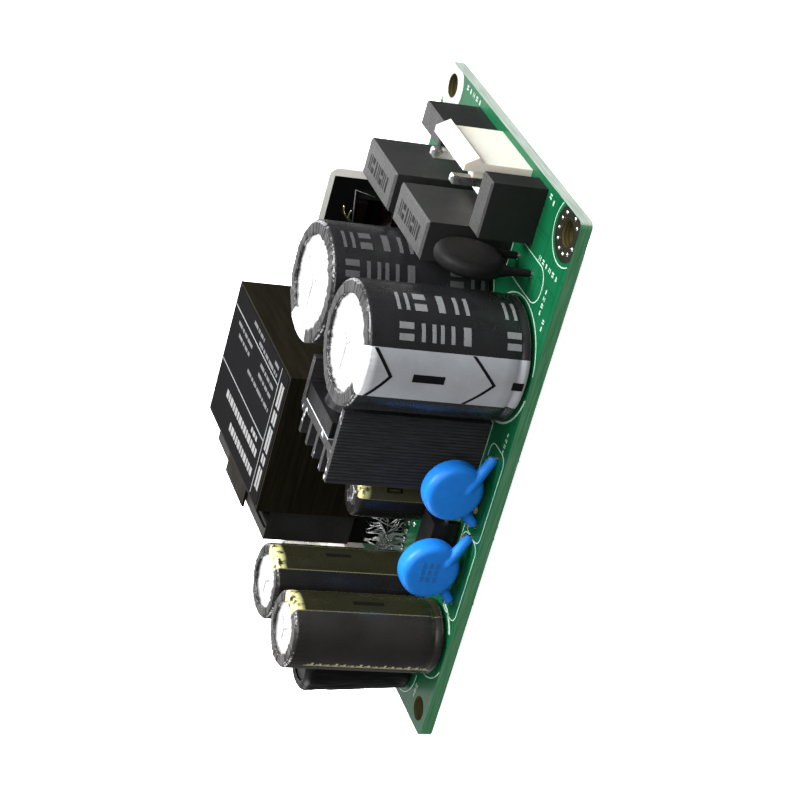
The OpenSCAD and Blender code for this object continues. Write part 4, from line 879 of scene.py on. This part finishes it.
# Rows of small print: place across, start, end
SMALL_ROWS = ((-0.7, -14.9, -9.5), (-0.7, -3.7, -1.6), (0.45, -11.2, -1.8), (2.5, -20.9, -13.2),
              (2.5, -8.7, -2.0), (3.9, -19.7, -13.8), (3.9, -8.7, -2.2), (5.75, -13.0, -1.8))
SMALL = 0.5
SMALL_GAP = 0.35
WORDS = (1.9, 0.8, 1.3, 2.4, 0.7, 1.6)
# Rows of bold print: place across, start, end, height, lengths of the bars
BOLD_ROWS = ((12.5, -18.7, -1.7, 1.15, (1.0, 0.7, 1.2, 0.8)),
             (15.4, -14.4, -1.9, 1.15, (0.8, 1.1, 0.7)), (10.9, -6.0, -2.5, 0.7, (0.7, 1.0)))
BOLD_GAP = 0.3
BLOCKS = ((0.1, 3.6), (4.2, 6.1), (6.7, 10.3), (10.9, 12.2), (12.8, 16.0))
BLOCK_ROWS = ((0.35, 1.0), (1.25, 1.9))

bm = bmesh.new()
prism(bm, rounded_box(*LABEL_BOX), LABEL_Z, LABEL_T)
piece("transformer_label_film", bm, "label_film_black", "label_film", smooth=False,
      stands_for=("transformer_label",))
bm = bmesh.new()
for line in RULES:
    ribbon(bm, line, RULE_W, LABEL_INK_Z)
piece("label_rules", bm, "ink_grey", "label_film", smooth=False)
small_print = []
for row in SMALL_ROWS:
    small_print += row_of_bars(*row, SMALL, WORDS, SMALL_GAP)
flat_print("label_small_rows", small_print, LABEL_INK_Z, "ink_dim", "label_film")
bold_print = []
for row in BOLD_ROWS:
    bold_print += row_of_bars(*row, BOLD_GAP)
flat_print("label_bold_rows", bold_print, LABEL_INK_Z, "ink_pale", "label_film")
blocks = [bar(*ends, *sides) for ends in BLOCKS for sides in BLOCK_ROWS]
flat_print("label_blocks", blocks, LABEL_INK_Z, "ink_pale", "label_film")

# Marks pressed into the film capacitors' upper ends
CASE_TOP = 13.6
CASE_MARK_X = (-27.2, -25.1)
CASE_MARK_Y = (-15.0, -1.0)
CASE_MARKS = (0, 2, 1, 0, 2, 0, 1)
CASE_MARK_STEP = 1.2
CASE_MARK_L = 0.85
for number, first_y in enumerate(CASE_MARK_Y, 1):
    shapes = []
    for step, kind in enumerate(CASE_MARKS):
        y = first_y + CASE_MARK_STEP * step
        shapes += mark(kind, *CASE_MARK_X, y, y + CASE_MARK_L)
    flat_print("x_capacitor_%d_marks" % number, shapes, CASE_TOP, "ink_dark", "grey_case")

# Board: corner pads, spots of solder, silkscreen outlines and rows of small marks
INLET_REAR_HOLE = (-HOLE_X, -HOLE_Y)
INLET_FRONT_HOLE = (-HOLE_X, HOLE_Y)
PAD_IN = 1.66
PAD_OUT = 3.6
PAD_T = 0.035
PAD_SEGMENTS = 72
# The pads keep this far inside the board, found in steps of the second number.
BOARD_MARGIN = 0.03
TRIM_STEP = 0.01
# Ring of small domes on the front pad: radius, angles from, to and apart, size of a dome
STITCH_RING = (2.6, 8, 338, 30)
STITCH_R = 0.27
STITCH_H = 0.16
STITCH_MARGIN = 0.3
# Angles at which a dome has its rings
DOME_TURNS = (0, 20, 40, 60, 78)
# Place and radius
SOLDER_SPOTS = ((15.0, 7.3, 0.42), (14.9, 9.7, 0.45), (13.9, 11.7, 0.35), (7.6, 19.6, 0.4),
                (17.4, 5.2, 0.4))
SPOT_RISE = 0.6
RESIN_PLACE = (4.9, 21.1)


def inside_board(x, y, margin=BOARD_MARGIN):
    dx = abs(x) - (HALF_L - BOARD_CORNER)
    dy = abs(y) - (HALF_W - BOARD_CORNER)
    return hypot(max(dx, 0), max(dy, 0)) < BOARD_CORNER - margin


def corner_pad(name, centre, finish):
    """A tinned ring round a mounting hole, cut off by the board's edges."""
    bm = bmesh.new()
    loops = []
    for a in turns(PAD_SEGMENTS):
        reach = PAD_OUT
        while not inside_board(*on_circle(centre, reach, a)):
            reach -= TRIM_STEP
        inner, outer = on_circle(centre, PAD_IN, a), on_circle(centre, reach, a)
        low, high = BOARD_TOP, BOARD_TOP + PAD_T
        corners = ((inner, low), (inner, high), (outer, high), (outer, low))
        loops.append([(*place, z) for place, z in corners])
    join_round(bm, loops)
    piece(name, bm, finish, "tinned_metal", smooth=False)


def dome(bm, centre, radius, height, base=BOARD_TOP, segments=20):
    """A low round cap of solder or resin."""
    step = 360 / segments
    rings = []
    for turn in DOME_TURNS:
        a = radians(turn)
        outline = arc(centre, radius * cos(a), 0, 360 - step, step)
        rings.append([(x, y, base + height * sin(a)) for x, y in outline])
    join_capped(bm, rings)


corner_pad("inlet_rear_pad", INLET_REAR_HOLE, "hot_air_levelled_tin")
corner_pad("inlet_front_pad", INLET_FRONT_HOLE, "fluxed_pad")
bm = bmesh.new()
for spot in arc(INLET_FRONT_HOLE, *STITCH_RING):
    if inside_board(*spot, STITCH_MARGIN):
        dome(bm, spot, STITCH_R, STITCH_H, BOARD_TOP + PAD_T, 12)
piece("inlet_front_stitching", bm, "hot_air_levelled_tin", "tinned_metal")
bm = bmesh.new()
for x, y, r in SOLDER_SPOTS:
    dome(bm, (x, y), r, r * SPOT_RISE)
piece("board_solder_spots", bm, "hot_air_levelled_tin", "tinned_metal")
bm = bmesh.new()
dome(bm, RESIN_PLACE, radius=0.78, height=0.55, segments=28)
piece("resin_drop", bm, "flux_resin", "board_laminate")

# Silkscreen in plan. An arc is its middle, radius, angles from and to, and width of the line. A
# box is its sides in X and in Y, and the radius of its corners.
BULK_1, BULK_2, BIAS, OUTPUT_1, OUTPUT_2 = (can[0] for can in CANS.values())
CHOKE_ROD = (32.8, 14.8)
SILK_W = 0.15
SILK_ARCS = [
    (INLET_FRONT_HOLE, 4.2, -128, 36, SILK_W),
    (BULK_1, 8.3, 102, 265, SILK_W), (BULK_1, 8.3, 2, 78, 0.26),
    (BULK_2, 8.3, 120, 240, SILK_W), (BULK_2, 8.3, -55, 40, SILK_W),
    (BIAS, 3.45, -170, 190, SILK_W),
    (OUTPUT_1, 5.6, 126, 172, 0.42), (OUTPUT_1, 5.6, -100, 65, SILK_W),
    (OUTPUT_2, 5.4, 100, 250, SILK_W), (CHOKE_ROD, 4.5, -100, 95, SILK_W),
]
SILK_BOXES = [
    (-28.85, -23.85, 8.0, 20.5, 2.2), (-29.1, -23.2, -17.0, -4.8, 0.3),
    (-29.1, -23.2, -3.0, 9.2, 0.3), (-6.5, 4.5, 3.0, 18.75, 0.2),
    (-4.8, 8.35, 19.95, 24.95, 1.4), (8.5, 20.3, 19.95, 24.95, 1.4), (7.7, 16.4, 14.3, 19.6, 0.3),
]
# Rows of small silkscreen marks: x and y of the first, steps in x and y, how many, size
SILK_ROWS = [
    (-37.5, -17.9, 0.0, 1.25, 5, 0.9), (-37.2, 15.2, 0.35, 1.2, 2, 0.9),
    (-29.75, 17.3, 0.0, 1.15, 6, 0.85), (-27.2, 21.6, 0.95, 0.0, 4, 0.8),
    (-23.9, 23.2, 0.95, 0.0, 2, 0.8), (-7.8, 23.4, 0.8, 0.0, 4, 0.7),
    (33.2, 19.9, 0.75, 0.0, 3, 0.8), (-33.0, -18.6, 0.0, 1.2, 4, 0.9),
    (20.5, -24.4, 1.1, 0.0, 6, 0.8), (-6.0, -24.5, 1.1, 0.0, 3, 0.8), (36.6, 5.2, 0.0, 1.2, 3, 0.8),
]
# A mark fills this share of its size.
SILK_FILL = 0.7
bm = bmesh.new()
for centre, radius, start, end, width in SILK_ARCS:
    ribbon(bm, arc(centre, radius, start, end), width, BOARD_TOP)
for box in SILK_BOXES:
    ribbon(bm, rounded_box(*box), SILK_W, BOARD_TOP, closed=True)
piece("silkscreen_outlines", bm, "silkscreen_white", "board_laminate", smooth=False)
silk_marks = []
for x, y, dx, dy, count, size in SILK_ROWS:
    filled = size * SILK_FILL
    for step in range(count):
        u, v = x + dx * step, y + dy * step
        silk_marks += mark((step * 2 + count) % 3, u, u + filled, v, v + filled)
flat_print("silkscreen_marks", silk_marks, BOARD_TOP, "silkscreen_white", "board_laminate")


# Dipped discs

DISC_SEGMENTS = 72
EDGE_STEPS = 8
# Shares of a disc's face at which it has rings
FACE_RINGS = (0.75, 0.4, 0.05)


def cushion(bm, centre, radius, half_t, edge, axis, domed=0.1):
    """A round disc with nearly flat faces and rounded edges. Its axis is 0 for X or 1 for Y."""
    rounded = [on_circle((radius - edge, half_t - edge), edge, pi * step / (2 * EDGE_STEPS))
               for step in range(EDGE_STEPS + 1)]
    face = [(share * (radius - edge), half_t) for share in FACE_RINGS]
    profile = [(r, -d) for r, d in reversed(rounded + face)] + rounded + face
    rings = []
    for reach, depth in profile:
        depth *= 1 - domed * (reach / radius) ** 2
        ring = []
        for a in turns(DISC_SEGMENTS):
            turned = [reach * cos(a), reach * cos(a), reach * sin(a)]
            turned[axis] = depth
            ring.append(Vector(centre) + Vector(turned))
        rings.append(ring)
    join_capped(bm, rings)


Y_HALF_T = 1.62
Y_CENTRE_Z = 6.2
Y_ROW_Y = 22.4
# For each Y capacitor: middle, then where its two legs start: sideways, forwards, down
Y_CAPACITORS = (
    ("y_capacitor_1", 1.6, ((0.3, 1.05, 0.9), (2.2, -0.9, 2.0))),
    ("y_capacitor_2", 13.4, ((-0.7, 1.05, 1.2), (2.0, -0.9, 2.4))),
)
# A leg runs out sideways, passes a place over the board half way and ends just above the board.
LEG_OUT = 5.0
LEG_FORWARD = 0.85
LEG_MIDDLE_LIFT = 0.5
LEG_FOOT_LIFT = 0.25
# Its radius at the start, how fast it grows and up to what, and how fast it shrinks
LEG_R, LEG_GROWTH, LEG_FULL, LEG_TAPER = 0.3, 0.14, 0.86, 0.01
for name, x, roots in Y_CAPACITORS:
    bm = bmesh.new()
    cushion(bm, (x, Y_ROW_Y, Y_CENTRE_Z), radius=3.98, half_t=Y_HALF_T, edge=0.95, axis=1)
    for side, (dx, dy, down) in zip((-1, 1), roots):
        root_z = Y_CENTRE_Z - down
        root = (x + dx, Y_ROW_Y + dy, root_z)
        middle = (x + (dx + side * LEG_OUT) / 2, Y_ROW_Y + LEG_FORWARD * dy,
                  (root_z + BOARD_TOP + LEG_MIDDLE_LIFT) / 2)
        foot = (x + side * LEG_OUT, Y_ROW_Y, BOARD_TOP + LEG_FOOT_LIFT)
        path = curved([root, middle, foot], 8)
        radii = [min(LEG_FULL, LEG_R + LEG_GROWTH * i) - LEG_TAPER * i for i in range(len(path))]
        tube(bm, path, radii)
    dipped_piece(name + "_coat", bm, "blue_dipped_epoxy",
                 stands_for=(name + "_disc",))

# Faint plain marks on the second disc's face: x and z of the first, steps, size, near and far side
DISC_MARKS = (11.8, 5.5)
DISC_MARK_STEP = (1.0, 0.9)
DISC_MARK_SIZE = (0.75, 0.5)
DISC_MARK_SIDES = (Y_HALF_T + 0.01, Y_HALF_T - 0.12)
bm = bmesh.new()
for column in range(3):
    for row in range(3):
        at_x = DISC_MARKS[0] + DISC_MARK_STEP[0] * column
        at_z = DISC_MARKS[1] + DISC_MARK_STEP[1] * row
        shape = bar(at_x, at_x + DISC_MARK_SIZE[0], at_z, at_z + DISC_MARK_SIZE[1])
        join_capped(bm, [[(x, Y_ROW_Y + y, z) for x, z in shape] for y in DISC_MARK_SIDES])
piece("y_capacitor_2_marks", bm, "ink_blue", "blue_epoxy", smooth=False)

THERM = (-26.7, 13.9, 9.1)
THERM_LEADS_Y = (11.4, 16.4)
# Heights along a leg, and its radius at each
THERM_LEG_Z = (7.0, 5.6, 4.4, 3.0, 1.75)
THERM_LEG_R = (0.9, 0.85, 0.62, 0.52, 0.5)
bm = bmesh.new()
cushion(bm, THERM, radius=4.58, half_t=1.32, edge=1.1, axis=0, domed=0.2)
for y in THERM_LEADS_Y:
    tube(bm, [(THERM[0], y, z) for z in THERM_LEG_Z], THERM_LEG_R)
dipped_piece("inrush_thermistor_coat", bm, "black_dipped",
             stands_for=("inrush_thermistor_disc",))

# Output choke: a shrunk tube that leans towards the output edge. Heights run along the tube.
ROD_FOOT_Z = 2.2
ROD_LEAN = radians(5)
ROD_R = 4.0
ROD_TOP = 14.68
ROD_EDGE = 1.1
ROD_OPENING = 2.75
ROD_LIP = 0.05
ROD_WALL = 0.22
ROD_BORE = 2.7
ROD_ROWS = 30
ROD_SEGMENTS = 160
# Folds, fine folds and waves of the mouth: how close they are, and their depths
ROD_GIRTH = 2.2
ROD_ALONG = 0.16
ROD_FOLD_RATE, ROD_FINE_RATE, ROD_MOUTH_RATE = 1.3, 3.0, 1.5
ROD_FOLD, ROD_FINE, ROD_MOUTH = 0.5, 0.10, 0.25
ROD_SMOOTH_SHARE = 0.12
ROD_DEEPEST = 0.14
# From this height the tube gathers, over the second number, by the third.
GATHER_Z, GATHER_L, GATHER = 10.5, 4.0, 0.10
GATHER_GIRTH = 5
MOUTH_W = 0.35


def on_rod(x, y, z):
    """Where a point of the upright tube is once the tube leans."""
    return (CHOKE_ROD[0] + x * cos(ROD_LEAN) + z * sin(ROD_LEAN), CHOKE_ROD[1] + y,
            ROD_FOOT_Z + z * cos(ROD_LEAN) - x * sin(ROD_LEAN))


def rod_ripple(angle, index, r, z):
    around = Vector((cos(angle) * ROD_GIRTH, sin(angle) * ROD_GIRTH, z * ROD_ALONG))
    folds = max(0.0, noise.noise(around * ROD_FOLD_RATE) - ROD_SMOOTH_SHARE) * ROD_FOLD
    folds += ROD_FINE * noise.noise(around * ROD_FINE_RATE)
    near_top = max(0.0, (z - GATHER_Z) / GATHER_L)
    girth = Vector((cos(angle) * GATHER_GIRTH, sin(angle) * GATHER_GIRTH, 2.0))
    gather = GATHER * near_top * abs(noise.noise(girth))
    if r < ROD_OPENING + MOUTH_W:
        return r + ROD_MOUTH * noise.noise(around * ROD_MOUTH_RATE), z - gather
    return r - min(ROD_DEEPEST, abs(folds) + gather), z


rod_outer = [(ROD_R, 0.0)] + [(ROD_R, ROD_TOP * i / ROD_ROWS) for i in range(1, ROD_ROWS - 2)]
rod_outer += arc((ROD_R - ROD_EDGE, ROD_TOP - ROD_EDGE), ROD_EDGE, 15, 90, 15)
rod_outer.append((ROD_OPENING, ROD_TOP - ROD_LIP))
rod_inner = [(max(r - ROD_WALL, ROD_BORE), min(z, ROD_TOP - ROD_WALL - ROD_LIP))
             for r, z in reversed(rod_outer)]
bm = bmesh.new()
turned_shell(bm, rod_outer + rod_inner, ROD_SEGMENTS, on_rod, rod_ripple)
piece("output_choke_tube", bm, "shrunk_tube", "choke_sleeve",
      stands_for=("output_choke_sleeve",))

# Transformer's flying leads: tinned strands from the bobbin to the board. Places are (y, z).
WIRE_FEET_X = (22.1, 20.8, 19.5, 18.2)
WIRE_FOOT = (3.5, 1.75)
WIRE_START = (1.15, 6.95)
WIRE_MAX_X = 23.6
BUNDLE_R = 0.17
FOOT_SHARE = 0.6
STRAND_R = 0.08
STRANDS = 4
# Bends of a strand: place from the wire's foot in x, then y, z and how far it may stray there
BENDS = ((0.0, 2.4, 6.6, 0.7), (-0.9, 3.5, 5.3, 1.5), (0.9, 3.9, 4.1, 1.6), (-0.5, 3.7, 3.0, 1.0))
STRAY_X = 1.3
STRAY_Y = 0.4
# Steps through the noise from wire to wire, strand to strand and bend to bend, and the places
# where it is read for x, y and z
STRAY_STEPS = (3.17, 5.71, 2.93)
STRAY_SHIFTS = ((0.4, 1.7, 2.6), (3.3, 5.9, 0.8), (7.1, 2.2, 9.5))
bm = bmesh.new()
for index, x in enumerate(WIRE_FEET_X):
    for strand, turn in enumerate(turns(STRANDS)):
        near = Vector((BUNDLE_R * cos(turn + index), 0, BUNDLE_R * sin(turn + index)))
        points = [Vector((x, *WIRE_START)) + near]
        for bend, (dx, y, z, stray) in enumerate(BENDS):
            seed = Vector([step * n for step, n in zip(STRAY_STEPS, (index, strand, bend))])
            off = Vector([noise.noise(seed + Vector(shift)) for shift in STRAY_SHIFTS]) * stray
            points.append(Vector((min(WIRE_MAX_X, x + dx + off.x * STRAY_X), y + STRAY_Y * off.y,
                                  z + off.z)))
        points.append(Vector((x, *WIRE_FOOT)) + near.xzy * FOOT_SHARE)
        route = curved(points, 5)
        tube(bm, route, [STRAND_R] * len(route), sides=7)
    dome(bm, (x, WIRE_FOOT[0]), radius=0.5, height=0.35, segments=14)
piece("transformer_flying_strands", bm, "tinned_strand", "tinned_metal",
      stands_for=("transformer_lead_wires",))

# Common-mode choke: two bare ends of its windings in the window, and a grey line on the bobbin's
# lip there, a painted highlight on its edge
CHOKE_FRONT_Y = -17.45
CHOKE_ENDS = (((-18.2, 14.5), (-17.0, 14.2), (-15.7, 12.9)),
              ((-17.6, 13.3), (-16.6, 13.5), (-15.6, 12.7)))
END_R = 0.17
END_TAPER = 0.07
LIP_HIGHLIGHT = ((-15.4, 12.6), (-20.6, 13.4), (-19.9, 10.4))
LIP_HIGHLIGHT_R = 0.09
LIP_HIGHLIGHT_FORWARD = 0.1
bm = bmesh.new()
for ends in CHOKE_ENDS:
    route = curved([(x, CHOKE_FRONT_Y, z) for x, z in ends])
    last = len(route) - 1
    tube(bm, route, [END_R - END_TAPER * i / last for i in range(len(route))], sides=8)
piece("choke_lead_ends", bm, "bare_copper_lead", "copper_wire")
# A grey tube on the black lip of the window: a painted highlight.
bm = bmesh.new()
tube(bm, [(x, CHOKE_FRONT_Y - LIP_HIGHLIGHT_FORWARD, z) for x, z in LIP_HIGHLIGHT], [LIP_HIGHLIGHT_R] * len(LIP_HIGHLIGHT), sides=8)
piece("choke_lip_highlight", bm, "ink_grey", "black_bobbin")


# Stage and lights

WORLD_LIGHT = 0.14
# Half the floor's side, in metres
FLOOR_HALF = 3.0
WHITE = (1.0, 1.0, 1.0, 1.0)
# Name, place, aim, size and power of each softbox
LIGHTS = [
    ("key", (-230, -40, 460), (0, 5, 5), (300, 300), 7.2),
    ("back_softbox", (400, -750, 350), (0, 0, 10), (900, 700), 2.2),
    ("front_fill", (-330, 560, 430), (0, 5, 8), (500, 400), 3.3),
    ("rear_fill", (-90, -560, 150), (0, 0, 8), (400, 260), 1.6),
    ("output_fill", (600, 40, 220), (0, 0, 8), (300, 300), 3.6),
]


def area_light(name, place, aim, size, power):
    data = bpy.data.lights.new(name, "AREA")
    data.shape = "RECTANGLE"
    data.size, data.size_y = size[0] * MM, size[1] * MM
    data.energy = power
    obj = add_object(name, data)
    obj.location = Vector(place) * MM
    obj.rotation_euler = (Vector(aim) - Vector(place)).to_track_quat("-Z", "Y").to_euler()


def make_stage():
    """A pale floor that glows a little, a dim white world and the softboxes."""
    world = bpy.data.worlds.new("studio")
    world.use_nodes = True
    back = world.node_tree.nodes["Background"]
    back.inputs["Color"].default_value = WHITE
    back.inputs["Strength"].default_value = WORLD_LIGHT
    scene.world = world
    scene.view_settings.view_transform = "Standard"
    bm = bmesh.new()
    bmesh.ops.create_grid(bm, x_segments=1, y_segments=1, size=FLOOR_HALF)
    floor = add_object("floor", mesh_of("floor", bm))
    floor.location.z = FLOOR_Z * MM
    s = Shader("pale_floor", rough=0.9, shine=0.1)
    s.set(Emission_Color=WHITE, Emission_Strength=0.9)
    s.set(Base_Color=s.mix(s.noise(0.004, detail=2.0), grey(0.88), grey(0.92)))
    dress(floor.data, "pale_floor")
    floor.visible_diffuse = floor.visible_glossy = False
    floor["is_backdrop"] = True
    for light in LIGHTS:
        area_light(*light)


make_stage()


def corners(box):
    return [list(box[0]), list(box[1])]


{"cad": corners(cad_box), "visual": corners(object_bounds())}
